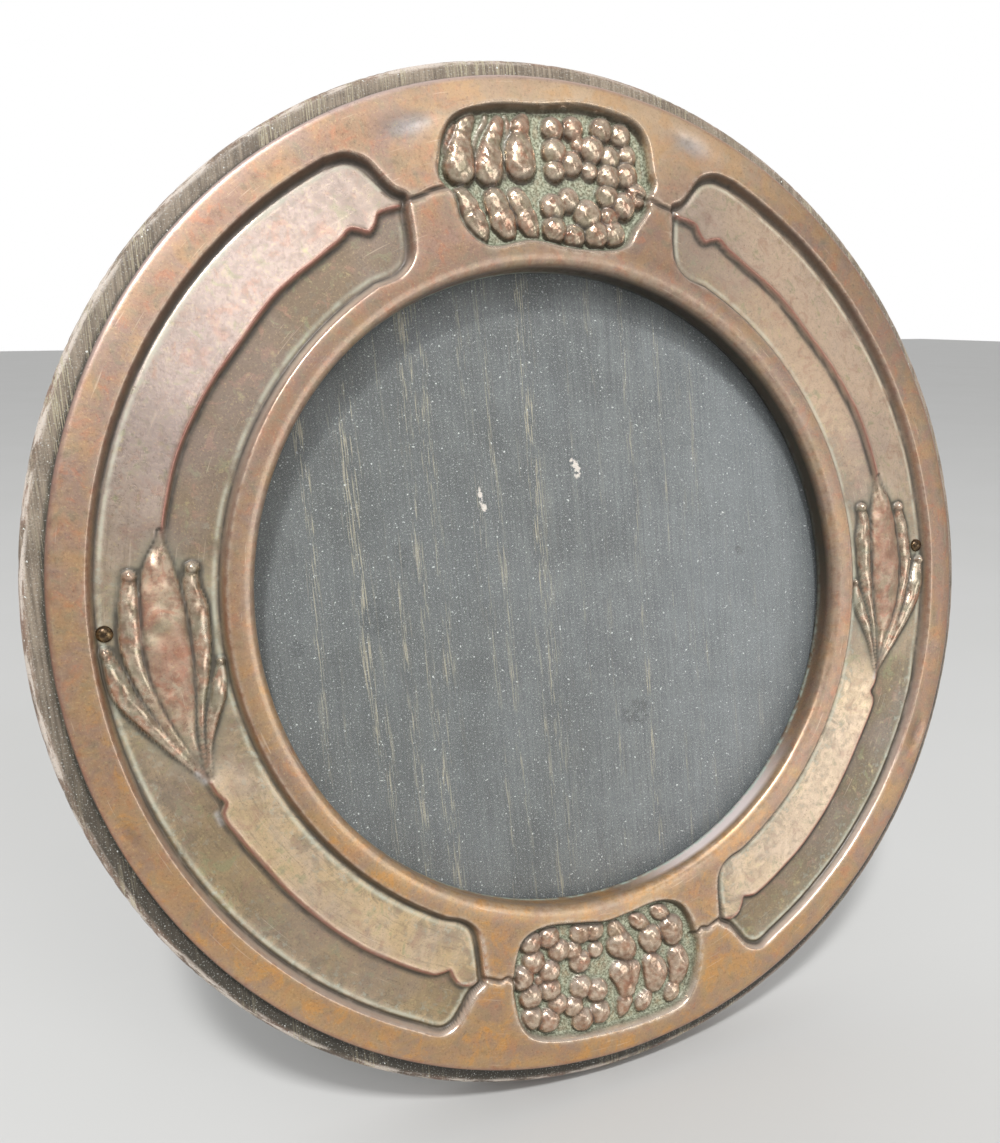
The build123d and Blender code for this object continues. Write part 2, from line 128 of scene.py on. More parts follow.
# Flowers, pods and berries: how full and how flat their beads are, and how uneven by hand
BUD_FLAT = 0.4
LUMP_RISE = 0.2
PETAL_FULL = 0.9
PETAL_FLAT = 0.72
PETAL_HEAD_FLAT = 1.25
FLOWER_WAVE = 0.13
FLOOR_UNDER_FLOWER = 0.4
BERRY_FULL = 1.17
BERRY_FLAT = 0.76
POD_FULL = 1.06
POD_FLAT = 0.7
ORNAMENT_WAVE = 0.05
ORNAMENT_DEPTH = 1.9
ORNAMENT_WALL = (0.7, 0.5)
ORNAMENT_HALF_U = 25
ORNAMENT_LOW_V = 50
GROUND_ROUGH = 0.06

# The copper's tints: slope that counts as level for the painted slope shade and highlight, wear of the lip,
# and the directions in degrees of the lining's painted highlight and painted shade
LEVEL_FALL = 0.2
LIP_WEAR = 0.4
LINING_LIT = 300
LINING_LIT_SPAN = 24
LINING_DIM = 40
LINING_DIM_SPAN = 45

# The shares that the copper's mesh stores for its shader, four to a layer; under, over, lining_lit,
# lining_dim and glint are painted shade and painted highlights
LAYERS = {
    "relief": ("worn", "hollow", "panel", "ground"),
    "tones": ("tone", "foot", "form", "line"),
    "light": ("under", "over", "lining_lit", "verdigris"),
    "edges": ("halo", "rim", "band_edge", "lining_dim"),
    "marks": ("wall", "dent", "glint", "blank"),
}


def half_width(node):
    """Half of a CAD node's width, in millimetres."""
    low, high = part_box(node)
    return (high.x - low.x) / 2 / MM


OAK_R = half_width("oak_ring")
COPPER_R = half_width("copper_front")

# The plate's place: its normal is the axis that the turn buttons swing on
button_joint = next(joint for joint in frame["joints"] if joint["child"].startswith("turn_button"))
normal = Vector(button_joint["axis"]).normalized()
glass_low, glass_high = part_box("glass_pane")
plate_origin = (glass_low + glass_high) / 2 - normal * GLASS_MID_W * MM
right = Vector((1, 0, 0))
upward = normal.cross(right)
plate_turn = Matrix((right, upward, normal)).transposed()


def to_row(u, v, w):
    """Plate millimetres to row metres, as one array of points."""
    plate = np.stack([np.ravel(u), np.ravel(v), np.ravel(w)], axis=1) * MM
    return plate @ np.array(plate_turn).T + np.array(plate_origin)


def plate_point(u, v, w):
    """One plate point as a row vector."""
    return Vector(to_row(u, v, w)[0])


# Points of the relief, given for the left half where the two halves mirror each other
PANEL_UPPER_END = [(-38, 71.8), (-34.5, 72.8), (-31.4, 72), (-28.9, 69.5), (-27.2, 67.9), (-25.2, 67.2)]
PANEL_UPPER_FOOT = [(-25.2, 64.6), (-24.9, 60.5), (-25.4, 57.4), (-27.6, 55), (-31.4, 53.5)]
PANEL_LOWER_FOOT = [(-31, -53.7), (-28, -54.9), (-26, -56.8), (-25.3, -59.5), (-25.2, -64.2)]
PANEL_LOWER_END = [
    (-25.2, -66.9), (-27.6, -68.6), (-29.6, -71.2), (-31.5, -73.2), (-34.2, -73.8), (-38, -71.8),
]
UPPER_RIDGE = [
    (-24, 66.3), (-27.8, 65.4), (-29.9, 64.6), (-30.7, 62.9), (-31.8, 61.7), (-33.4, 62), (-35, 62),
    (-36.6, 60.5), (-40.7, 57.4), (-47.9, 52), (-54, 45.1), (-60.2, 37.6), (-65.6, 28.7), (-68.6, 20.2),
    (-69.8, 15),
]
LOWER_RIDGE = [
    (-68, -21), (-66.4, -24.7), (-65.1, -26.6), (-65.7, -28.4), (-64.8, -30.8), (-61.7, -35.9),
    (-55, -45.9), (-46.8, -54.7), (-39.6, -60), (-34.5, -63), (-32.4, -63.3), (-31, -63.2),
    (-30.5, -64.6), (-29.4, -66.2), (-27.4, -66.8), (-24.5, -66.2),
]
UPPER_CREASE = [(-26, 66.3), (-22.7, 67.2), (-20.6, 68.2), (-18, 68.9)]
LOWER_CREASE = [(-26, -66), (-24, -66.5), (-22, -67.4), (-20.4, -67.2), (-18.6, -68.8)]

# Flower beads as (u, v, radius), from head to foot
BUD = [
    (-69.8, 17, 0.4), (-69.9, 15, 1), (-70.6, 11, 2.4), (-70.8, 6, 3.4), (-70.8, 0, 3.9),
    (-70.7, -5, 3.6), (-70.3, -10, 2.7), (-69.6, -15, 1.5), (-68.4, -20, 0.6),
]
PETALS = [
    [(-75, 10.4, 1.1), (-75.3, 8, 1.5), (-75.6, 5, 1.9), (-76, 0, 1.9), (-75.4, -5, 1.6), (-73.8, -10, 1.4),
     (-71.7, -15, 1.1), (-69.4, -19, 0.7), (-67.6, -22.5, 0.5)],
    [(-80, -0.8, 1), (-79.4, -3, 1.5), (-78.7, -5.5, 2), (-77.6, -8.5, 2), (-75.3, -12, 1.7),
     (-72.6, -16, 1.2), (-70, -19.5, 0.8), (-67.6, -22.6, 0.5)],
    [(-65.6, 10.9, 1.1), (-66.1, 8, 1.5), (-65.6, 4.5, 1.9), (-65.7, 0, 1.8), (-66.1, -5, 1.4),
     (-66.9, -10, 0.9), (-67.5, -15, 0.7), (-67.4, -21, 0.5)],
    [(-63, -4, 0.8), (-63.6, -7, 1.3), (-64.2, -9.5, 1.4), (-65.5, -13, 1.1), (-66.5, -17, 0.7),
     (-67.1, -22.5, 0.5)],
]
BUD_LUMPS = [
    (-71.6, 11, 1.3), (-69.6, 8, 1.5), (-72.4, 4.6, 1.5), (-69, 2, 1.7), (-72.2, -1.6, 1.9),
    (-69.2, -6, 1.5), (-71.4, -9.4, 1.3),
]

# Ornament panels: outlines, pods as chains of beads, and berries as (u, v, radius)
TOP_OUTLINE = [
    (-18.7, 70.5), (-18.4, 73.5), (-17.2, 77.4), (-14.5, 80.3), (-8, 82), (0, 82.4), (7, 83), (13, 82.3),
    (18, 80.8), (20.2, 78), (20.8, 73), (21.2, 70.6), (20, 68.6), (19.6, 66.4), (17, 63.4), (15.2, 60.8),
    (12, 59.8), (5, 60), (-3, 61.2), (-9.5, 60.1), (-13, 61), (-15.5, 64), (-16.4, 68),
]
BOTTOM_OUTLINE = [
    (-19.3, -69.4), (-18.4, -64.8), (-16.4, -61), (-12, -59.8), (-5, -60.7), (0, -61.5), (5, -61),
    (11, -60.1), (15, -61), (17.4, -63.6), (19, -68.2), (19.5, -70.4), (18.8, -74.6), (17, -79),
    (14, -81.3), (5, -82.3), (-5, -82), (-12, -81), (-16.5, -79.3), (-18.6, -76), (-19.2, -72),
]
TOP_PODS = [
    [(-15, 72.3, 2.8), (-14.6, 74.4, 2.4), (-14.2, 76.6, 1.8), (-13.5, 78.7, 1.5), (-12.5, 80.3, 1.2)],
    [(-12, 71.2, 0.5), (-11.4, 73.6, 0.6), (-11.9, 75.8, 0.6), (-11, 78, 0.6), (-9.8, 79.6, 0.7),
     (-9.3, 81, 0.5)],
    [(-17.2, 75, 0.8), (-16.7, 77, 1.1), (-15.7, 79, 1)],
    [(-9.8, 72.3, 2.7), (-9.2, 74.4, 2.3), (-8.8, 76.6, 1.7), (-7.9, 78.6, 1.5), (-7.2, 80.2, 1.1)],
    [(-6.8, 71.4, 0.5), (-6.3, 73.6, 0.6), (-6.6, 75.6, 0.6), (-5.9, 77.8, 0.6), (-5.4, 79.6, 0.7),
     (-5.8, 81, 0.5)],
    [(-3.8, 73.6, 2.9), (-3.7, 75.6, 2.6), (-3.4, 77.8, 1.8)],
    [(-3.3, 79.4, 1.8), (-2.6, 80.6, 1.3)],
    [(-15, 67.6, 1.9), (-14.2, 66.3, 2.2)],
    [(-13.2, 64.2, 2.3), (-12.3, 62.5, 1.8), (-11.8, 61.4, 1)],
    [(-9, 67.6, 2.1), (-8.7, 66.5, 2.2)],
    [(-8, 64.4, 2.4), (-7.2, 62.7, 1.7), (-6.8, 61.8, 0.9)],
    [(-4.9, 67.8, 2), (-4.4, 66.7, 2.1)],
    [(-3.6, 64.8, 2.2), (-2.7, 63.1, 1.6), (-2.2, 62, 0.9)],
]
TOP_BERRIES = [
    (2.8, 79.5, 1.9), (6.6, 79.8, 1.9), (12.2, 79.8, 2), (15.9, 79.1, 1.9), (2.8, 75.8, 2.1),
    (5.8, 74, 2), (2.6, 72.8, 1.8), (10.1, 76.4, 2.2), (7.6, 77.2, 1.4), (13.4, 75.3, 1.9),
    (17, 75.8, 1.7), (13, 72.1, 2.1), (16.5, 72.5, 2.1), (9.4, 73, 1.5), (12.5, 68.9, 2), (18.3, 69.2, 2),
    (15.4, 67.3, 2.2), (1.7, 66.7, 2.1), (4.8, 68, 1.9), (8.2, 65.6, 2.4), (12.4, 65.4, 1.7),
    (1.7, 63.1, 2.1), (5.3, 62, 1.9), (9.6, 62.4, 2.2), (13.1, 62.5, 2.1),
]
BOTTOM_PODS = [
    [(1.9, -62.2, 0.9), (2.3, -63.6, 1.6), (3, -65, 1.8)],
    [(3, -66.7, 2.7), (4.2, -68, 2.3), (4.9, -69, 1.6)],
    [(6.3, -62.2, 1), (7.4, -63.2, 1.6), (8.8, -64.3, 1.2)],
    [(9.7, -66.9, 2.5), (10, -68, 2.2)],
    [(11, -61.6, 1), (12.1, -62.4, 1.6), (13.4, -63.3, 1.2)],
    [(14.3, -66.1, 2.7), (14.8, -67.6, 2.2)],
    [(2.7, -72, 2.3), (3.4, -74, 2), (3.9, -76, 1.9)],
    [(5.3, -72.3, 1.9), (4.9, -74.4, 1.7)],
    [(3.3, -78.2, 1.7), (2.8, -79.5, 1.4), (2.3, -80.8, 0.7)],
    [(9.5, -71.9, 2), (10.3, -74, 2.6), (9.9, -76.1, 2)],
    [(7.9, -78.5, 1.4), (7.1, -79.3, 1.8), (6.4, -80.2, 1.1)],
    [(15.2, -71.7, 2), (15.5, -73.8, 2.4), (15, -75.9, 1.9)],
    [(13.9, -78, 1.5), (13.4, -79.1, 1.7), (12.9, -80.2, 0.9)],
]
BOTTOM_BERRIES = [
    (-15.1, -62.2, 2), (-11.4, -62, 2), (-9.6, -65, 2), (-6.8, -65.7, 1.7), (-4.9, -62.6, 2),
    (-2.2, -62.8, 1.9), (-14.9, -65.9, 2.1), (-17.5, -68.4, 2.2), (-14, -69.7, 1), (-11.8, -68.5, 2),
    (-2.1, -66.6, 1.5), (-5.5, -68.1, 2), (-16, -72.4, 2.1), (-12, -72, 2), (-16.2, -76.5, 2.1),
    (-13, -77.7, 2.2), (-10.8, -75.2, 1.9), (-7.7, -76.3, 1.9), (-5.8, -73.1, 2.1), (-2.5, -74.6, 2.1),
    (-6, -79.4, 2.1), (-2.4, -78.9, 2.1),
]

# The board's bands of open grain as (u, half width, strength), its smudges and chips as (u, v, size, tall)
GRAIN_BANDS = [
    (-45, 3.5, 0.7), (-38, 4.5, 1), (-31, 2.5, 0.6), (-25, 4.5, 0.9), (-15, 2, 0.6), (-11, 1.5, 0.5),
    (-4, 3.5, 0.7), (5, 1.2, 0.35), (10, 1.2, 0.5), (17, 1.2, 0.5), (24, 1, 0.35), (31, 1, 0.35),
    (37, 1, 0.3), (43, 1, 0.3),
]
SMUDGES = [(14, -24, 4.5, 1), (-36, 0, 4, 1.2), (-50, -4, 2.5, 1), (-30, 10, 2.5, 1.4), (40, 5, 1.5, 1)]
CHIPS = [(5.4, 22.6, 1.3, 1.8), (4.6, 24, 1, 1.2), (-14.2, 19, 0.7, 3.6), (-13.7, 17, 0.8, 1.5)]

# The copper's painted glints, streaks beside the ridges as (from, to, width), and its dents as (u, v, long,
# wide)
PAINTED_GLINT_STREAKS = [
    ((-69, -21.3), (-67.9, -22.8), 0.45), ((-66.7, -28.3), (-66.2, -29.9), 0.45),
    ((60.4, -38.7), (60.9, -37.8), 0.4), ((66.4, -23.9), (66.8, -23), 0.4),
]
BAND_DENTS = [(-23.5, 78, 4.2, 1.5), (29.5, 78, 4, 1.6), (-80, -29, 3, 1.6), (76, -37, 3, 1.5)]


# Drawing helpers
def smooth_line(points, closed=False, steps=8):
    """A smooth curve through points, which carries bead sizes along."""
    knots = np.array(points, float)
    if closed:
        padded = np.vstack([knots[-1:], knots, knots[:2]])
    else:
        padded = np.vstack([2 * knots[0] - knots[1], knots, 2 * knots[-1] - knots[-2]])
    t = np.linspace(0, 1, steps, endpoint=False)[:, None]
    parts = []
    for p0, p1, p2, p3 in zip(padded, padded[1:], padded[2:], padded[3:]):
        cubic = (3 * p1 - p0 - 3 * p2 + p3) * t**3
        square = (2 * p0 - 5 * p1 + 4 * p2 - p3) * t**2
        parts.append(p1 + ((p2 - p0) * t + square + cubic) / 2)
    if not closed:
        parts.append(knots[-1:])
    return np.vstack(parts)


def ease(x):
    """Smooth step from 0 to 1."""
    x = np.clip(x, 0, 1)
    return x * x * (3 - 2 * x)


def bell(x, width, centre=0.0):
    """A bump of 1 that dies away over a width."""
    return np.exp(-(((x - centre) / width) ** 2))


def line_distance(u, v, line):
    """Distance to a line of short runs, and the side of it."""
    nearest = np.full(u.shape, 1e9)
    side = np.zeros(u.shape)
    for (u0, v0), (u1, v1) in zip(line[:-1], line[1:]):
        du, dv = u1 - u0, v1 - v0
        along = np.clip(((u - u0) * du + (v - v0) * dv) / (du * du + dv * dv + 1e-12), 0, 1)
        gap = np.hypot(u - u0 - along * du, v - v0 - along * dv)
        closer = gap < nearest
        nearest = np.where(closer, gap, nearest)
        side = np.where(closer, np.sign(du * (v - v0) - dv * (u - u0)), side)
    return nearest, side


def inside_depth(u, v, outline):
    """Signed distance to a closed outline, positive inside it."""
    loop = np.vstack([outline, outline[:1]])
    within = np.zeros(u.shape, bool)
    for (u0, v0), (u1, v1) in zip(loop[:-1], loop[1:]):
        if v0 != v1:
            crosses = (v0 > v) != (v1 > v)
            within ^= crosses & (u < u0 + (v - v0) * (u1 - u0) / (v1 - v0))
    gap, _ = line_distance(u, v, loop)
    return np.where(within, gap, -gap)


def bead_height(u, v, beads, flat):
    """Height of a row of flattened half balls."""
    height = np.zeros(u.shape)
    for bead_u, bead_v, radius in beads:
        square = radius * radius - (u - bead_u) ** 2 - (v - bead_v) ** 2
        height = np.maximum(height, flat * np.sqrt(np.maximum(square, 0)))
    return height


def arc_points(radius, start, end):
    """Points of a circle between the directions of two points."""
    first = math.atan2(start[1], start[0]) % (2 * math.pi)
    last = math.atan2(end[1], end[0]) % (2 * math.pi)
    angles = np.linspace(first, last, ARC_POINTS)[1:-1]
    return np.stack([radius * np.cos(angles), radius * np.sin(angles)], axis=1)


def left_panel():
    """Outline of the left side panel."""
    paths = (PANEL_UPPER_END, PANEL_UPPER_FOOT, PANEL_LOWER_FOOT, PANEL_LOWER_END)
    upper_end, upper_foot, lower_foot, lower_end = [smooth_line(path) for path in paths]
    inner = arc_points(PANEL_IN_R, upper_foot[-1], lower_foot[0])
    outer = arc_points(PANEL_OUT_R, lower_end[-1], upper_end[0])
    return np.vstack([upper_end, upper_foot, inner, lower_foot, lower_end, outer])


# The copper's relief
def ridge_facets(u, v, ridge, upper_side):
    """Height of a ridge's facets, share of the one that is painted lit rather than shaded, and gap to the
    ridge.
    """
    gap, side = line_distance(u, v, smooth_line(ridge))
    above = side * upper_side > 0
    high = RIDGE_RISE * np.clip(1 - gap / HIGH_FACET_WIDE, 0, 1)
    low = LOW_FACET_RISE * np.clip(1 - gap / LOW_FACET_WIDE, 0, 1)
    low += (RIDGE_RISE - LOW_FACET_RISE) * (1 - ease(gap / RIDGE_STEP))
    height = np.where(above, high, low) + CREST_RISE * bell(gap, CREST_WIDE)
    return height, ease(np.where(above, 0.5 + gap, 0.5 - gap)), gap


def flower_relief(u, v):
    """Height of the left flower: a lumpy bud among petals with round heads."""
    flower = bead_height(u, v, smooth_line(BUD, steps=10), BUD_FLAT)
    for lump_u, lump_v, size in BUD_LUMPS:
        near = bell(np.hypot(u - lump_u, v - lump_v), size)
        flower += LUMP_RISE * near * ease((flower - 0.2) / 0.9)
    for petal in PETALS:
        beads = smooth_line(petal) * (1, 1, PETAL_FULL)
        flower = np.maximum(flower, bead_height(u, v, beads, PETAL_FLAT))
        flower = np.maximum(flower, bead_height(u, v, petal[:1], PETAL_HEAD_FLAT))
    waves = np.sin(1.15 * v + 0.7 * u) * np.sin(0.8 * u - 0.35 * v)
    return flower + FLOWER_WAVE * waves * ease(flower)


def lower_fade(v):
    """Share of the lower ridge, none at the flower."""
    return ease((-v - LOWER_RIDGE_END) / LOWER_RIDGE_FADE)


def panel_relief(u, v):
    """Height of the left panel's floor, and shares of the facet painted bright, ridge line and flower."""
    upper, upper_tone, upper_gap = ridge_facets(u, v, UPPER_RIDGE, -1)
    lower, lower_tone, lower_gap = ridge_facets(u, v, LOWER_RIDGE, 1)
    upper_share = ease((v - UPPER_RIDGE_END) / UPPER_RIDGE_FADE)
    lower_share = lower_fade(v)
    height = upper * upper_share + lower * lower_share
    tone = 0.5 + (upper_tone - 0.5) * upper_share + (lower_tone - 0.5) * lower_share
    line = bell(np.minimum(upper_gap, lower_gap), RIDGE_LINE_WIDE)
    flower = flower_relief(u, v)
    raised = np.where(flower > 0, FLOOR_UNDER_FLOWER * height + flower, height)
    return raised, tone, line, np.clip(flower * 2, 0, 1)


def ornament_relief(u, v, pods, berries):
    """Height of an ornament's pods and berries."""
    full = [(berry_u, berry_v, BERRY_FULL * size) for berry_u, berry_v, size in berries]
    height = bead_height(u, v, full, BERRY_FLAT)
    for pod in pods:
        beads = smooth_line(pod, steps=6) * (1, 1, POD_FULL)
        height = np.maximum(height, bead_height(u, v, beads, POD_FLAT))
    waves = np.sin(1.9 * u + 0.8 * v) * np.sin(1.7 * v - 0.9 * u)
    return height + ORNAMENT_WAVE * waves * ease(height)


def ground_noise(u, v):
    """Fine chased texture, as crossed waves."""
    waves = np.sin(2.9 * u + 1.3 * np.sin(1.7 * v)) * np.sin(3.1 * v + 1.1 * np.sin(1.9 * u + 0.6))
    return waves + 0.6 * np.sin(5.3 * u - 2.1 * v) * np.sin(4.7 * v + 1.3 * u)


def sunk_share(depth, wall):
    """Share of the way down a panel's wall."""
    shoulder, foot = wall
    return ease((depth + shoulder) / (shoulder + foot))


def press_dents(u, v, height, shares):
    """Sinks the outer band's dents, drawn out along the ring."""
    for dent_u, dent_v, long, wide in BAND_DENTS:
        turn = math.atan2(dent_v, dent_u) + math.pi / 2
        along = (u - dent_u) * math.cos(turn) + (v - dent_v) * math.sin(turn)
        across = (v - dent_v) * math.cos(turn) - (u - dent_u) * math.sin(turn)
        dent = bell(along, long) * bell(across, wide)
        height -= DENT_DEPTH * dent
        shares["dent"] = np.maximum(shares["dent"], dent)


def press_side_panel(u, v, mirror, height, shares):
    """Sinks the left panel or its mirror image, and raises its ridges and flower."""
    near = mirror * u < -PANEL_CLEAR_U
    mu, mv = mirror * u[near], v[near]
    depth = inside_depth(mu, mv, left_panel())
    drop = sunk_share(depth, PANEL_WALL)
    raised, tone, line, flower = panel_relief(mu, mv)
    inner = ease(depth / PANEL_INNER)
    low_half = lower_fade(mv) * (1 - tone) * (depth > 0)
    foot = FOOT_RISE * np.exp(-np.clip(depth - 0.5, 0, None) / FOOT_WIDE) * low_half * inner
    local = height[near] - PANEL_DEPTH * drop + raised * inner + foot
    crease = bell(depth, 0.3, 0.45)
    for path in (UPPER_CREASE, LOWER_CREASE):
        gap, _ = line_distance(mu, mv, smooth_line(path))
        cut = bell(gap, CREASE_WIDE) * (1 - drop)
        local -= CREASE_DEPTH * cut
        crease = np.maximum(crease, cut)
    height[near] = local
    shares["crease"][near] = crease
    shares["panel"][near] = drop
    shares["wall"][near] = np.exp(-np.clip(depth, 0, None) / CRUST_REACH) * ease(depth / 0.8)
    shares["foot"][near] = bell(depth, 0.36, PANEL_INNER) * (raised < 0.8)
    shares["tone"][near] = 0.5 + (tone - 0.5) * inner
    shares["line"][near] = line * inner * (1 - flower)
    shares["form"][near] = flower * inner


def press_ornament(u, v, side, drawing, height, shares):
    """Sinks an ornament panel, and raises its pods and berries."""
    outline, pods, berries = drawing
    near = (np.abs(u) < ORNAMENT_HALF_U) & (side * v > ORNAMENT_LOW_V)
    nu, nv = u[near], v[near]
    depth = inside_depth(nu, nv, smooth_line(outline, closed=True))
    drop = sunk_share(depth, ORNAMENT_WALL)
    raised = ornament_relief(nu, nv, pods, berries) * ease((depth + 0.2) / 0.8)
    height[near] += raised + (GROUND_ROUGH * ground_noise(nu, nv) - ORNAMENT_DEPTH) * drop
    form = ease(raised / 0.6)
    shares["form"][near] = np.maximum(shares["form"][near], form)
    shares["ground"][near] = drop * (1 - form)
    rim = np.clip(bell(raised, 0.3, 0.3) + bell(depth, 0.3, 0.3), 0, 1)
    shares["crease"][near] = np.maximum(shares["crease"][near], 0.85 * rim * drop)


def copper_relief(u, v):
    """Height of the copper's face, and the shares that its colours follow."""
    radius = np.hypot(u, v)
    height = BAND_TOP - OUTER_FALL * np.clip((radius - OUTER_FALL_R) / OUTER_FALL_WIDE, 0, 1) ** 2
    height -= INNER_FALL * np.clip((INNER_FALL_R - radius) / INNER_FALL_WIDE, 0, 1) ** 2
    height += HAND_WAVE * (np.sin(0.31 * u + 0.9) * np.sin(0.27 * v + 0.4) - 1)
    keys = ("panel", "ground", "foot", "crease", "line", "form", "wall", "dent")
    shares = {key: np.zeros(u.shape) for key in keys}
    shares["tone"] = np.full(u.shape, 0.5)
    press_dents(u, v, height, shares)
    for mirror in (1, -1):
        press_side_panel(u, v, mirror, height, shares)
    press_ornament(u, v, 1, (TOP_OUTLINE, TOP_PODS, TOP_BERRIES), height, shares)
    press_ornament(u, v, -1, (BOTTOM_OUTLINE, BOTTOM_PODS, BOTTOM_BERRIES), height, shares)
    return height, shares


# Meshes
def grid_mesh(name, points, rows, columns, whole_turn=True, capped=False):
    """Quads over rows of points, the last row closed on the first or both capped."""
    index = np.arange(rows * columns).reshape(rows, columns)
    caps = []
    if capped:
        caps = [index[0, ::-1].tolist(), index[-1].tolist()]
    else:
        index = np.vstack([index, index[:1]])
    if whole_turn:
        index = np.hstack([index, index[:, :1]])
    quads = np.stack([index[:-1, :-1], index[:-1, 1:], index[1:, 1:], index[1:, :-1]], axis=-1)
    mesh = bpy.data.meshes.new(name)
    mesh.from_pydata(points.tolist(), [], quads.reshape(-1, 4).tolist() + caps)
    mesh.update()
    mesh.polygons.foreach_set("use_smooth", np.ones(len(mesh.polygons), bool))
    return mesh


def place(name, mesh, material, node, slot):
    """A finished piece that stands for a CAD node and moves with the frame."""
    piece = bpy.data.objects.new(name, mesh)
    bpy.context.scene.collection.objects.link(piece)
    mesh.materials.append(material)
    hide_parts(node)
    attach(piece, "frame")
    return piece


def round_corner(centre_r, centre_w, radius, first, last, count):
    """Section points along an arc, in degrees from outward to the front."""
    angles = np.radians(np.linspace(first, last, count))
    return [(centre_r + radius * math.cos(a), centre_w + radius * math.sin(a)) for a in angles]


def turned(profile, angles):
    """Places of a section's points at each angle, across and up the plate."""
    return profile[:, :1] * np.cos(angles), profile[:, :1] * np.sin(angles)


def face_radii():
    """Radii across the copper's face, closer at the panels' walls."""
    radii = np.linspace(WINDOW_R + LIP_ROUND, COPPER_R - EDGE_ROUND, 2001)
    density = 1 + 1.3 * (bell(radii, 1.4, PANEL_IN_R) + bell(radii, 1.4, PANEL_OUT_R))
    total = np.concatenate([[0], np.cumsum((density[1:] + density[:-1]) / 2)])
    return np.interp(np.linspace(0, total[-1], FACE_ROWS + 2)[1:-1], total, radii)


def skin_profile():
    """The copper's section as (radius, w), from its lining to its underside."""
    lip = [(WINDOW_R, w) for w in LINING_ROWS]
    lip += round_corner(WINDOW_R + LIP_ROUND, BAND_TOP - LIP_ROUND, LIP_ROUND, 180, 90, LIP_ROWS)
    face = [(radius, BAND_TOP) for radius in face_radii()]
    edge = round_corner(COPPER_R - EDGE_ROUND, BAND_TOP - EDGE_ROUND, EDGE_ROUND, 90, 0, EDGE_ROWS)
    edge += [(COPPER_R, SHEET), (COPPER_R, UNDERSIDE_W)]
    under = [(COPPER_R - SHEET, UNDERSIDE_W), (WINDOW_R + SHEET, UNDERSIDE_W)]
    under += [(WINDOW_R + SHEET, LINING_END)]
    return np.array(lip + face + edge + under)


def blurred(field, reach):
    """A field averaged over a square window."""
    size = 2 * reach + 1
    padded = np.pad(field, reach, mode="edge")
    down = sum(padded[i:i + field.shape[0]] for i in range(size)) / size
    return sum(down[:, i:i + field.shape[1]] for i in range(size)) / size


def beside(form, reach, gain):
    """Share of the ground close beside raised forms."""
    return np.clip(gain * blurred(form, reach) * (1 - form), 0, 1)


def turn_from(angles, degrees):
    """Degrees from each angle to a direction, either way round."""
    return np.degrees(np.abs((angles - math.radians(degrees) + math.pi) % (2 * math.pi) - math.pi))


def lit_walls(relief, radii, angles):
    """Shares of the face's slopes that look down and that look up, for painted shade and painted highlight.
    """
    fall = np.gradient(relief, radii, axis=0) * np.sin(angles)
    fall += np.gradient(relief, angles, axis=1) / radii[:, None] * np.cos(angles)
    return np.clip(fall - LEVEL_FALL, 0, 1), np.clip(-fall - LEVEL_FALL, 0, 1)


def lining_shares(profile, angles):
    """Shares of the window's lining that are lit, dim and green."""
    radius, w = profile[:, :1], profile[:, 1:]
    lining = np.where((w < 0.5) & (radius < WINDOW_R + 0.1), 1.0, 0.0)
    lit = lining * ease(1.2 - turn_from(angles, LINING_LIT) / LINING_LIT_SPAN)
    dim = lining * ease(1.7 - turn_from(angles, LINING_DIM) / LINING_DIM_SPAN)
    green = lining * ease((-w - 1.5) / 0.9) * (1 - 0.9 * dim)
    return lit, dim, green


def skin_shares(profile, angles, w, shown, relief, shares):
    """The shares that the copper's mesh stores."""
    u, v = turned(profile, angles)
    found = {key: share * shown for key, share in shares.items()}
    found["tone"] = shares["tone"]
    found["blank"] = np.zeros(u.shape)
    shape = np.where(shown > 0, w, BAND_TOP)
    near_raise = shape - blurred(shape, 3)
    far_raise = shape - blurred(shape, 8)
    found["worn"] = np.clip(near_raise * 4 + far_raise * 0.5, 0, 1) * shown
    found["worn"][len(LINING_ROWS):FACE_START] = LIP_WEAR
    # Hollows and the ground beside forms, darkened later as patina with painted shade
    hollow = np.clip(np.maximum(-near_raise * 5 - far_raise * 0.4, shares["crease"]), 0, 1) * shown
    hollow[:FACE_START] = 0
    found["hollow"] = np.maximum(hollow, beside(shares["form"], 2, 3) * found["panel"])
    face = slice(FACE_START, FACE_STOP)
    # Painted shade on slopes that face down the plate, and a painted highlight on slopes that face up it
    under, over = np.zeros(u.shape), np.zeros(u.shape)
    under[face], over[face] = lit_walls(relief[face], profile[face, 0], angles)
    found["under"] = under * (1 - 0.55 * np.clip(3 * blurred(shares["line"], 4), 0, 1))
    found["over"] = over
    # Glints: painted highlights in short streaks beside the ridges
    found["glint"] = np.zeros(u.shape)
    for streak_from, streak_to, width in PAINTED_GLINT_STREAKS:
        gap, _ = line_distance(u, v, [streak_from, streak_to])
        found["glint"] = np.maximum(found["glint"], bell(gap, width) * found["panel"])
    found["halo"] = beside(shares["form"], 7, 2) * found["panel"]
    found["rim"] = ease((profile[:, :1] - COPPER_R + 1.1) / 0.8) + np.zeros(u.shape)
    found["band_edge"] = ease(blurred(shares["panel"], 4) * 4) * (1 - shares["panel"]) * shown
    found["lining_lit"], found["lining_dim"], found["verdigris"] = lining_shares(profile, angles)
    return found


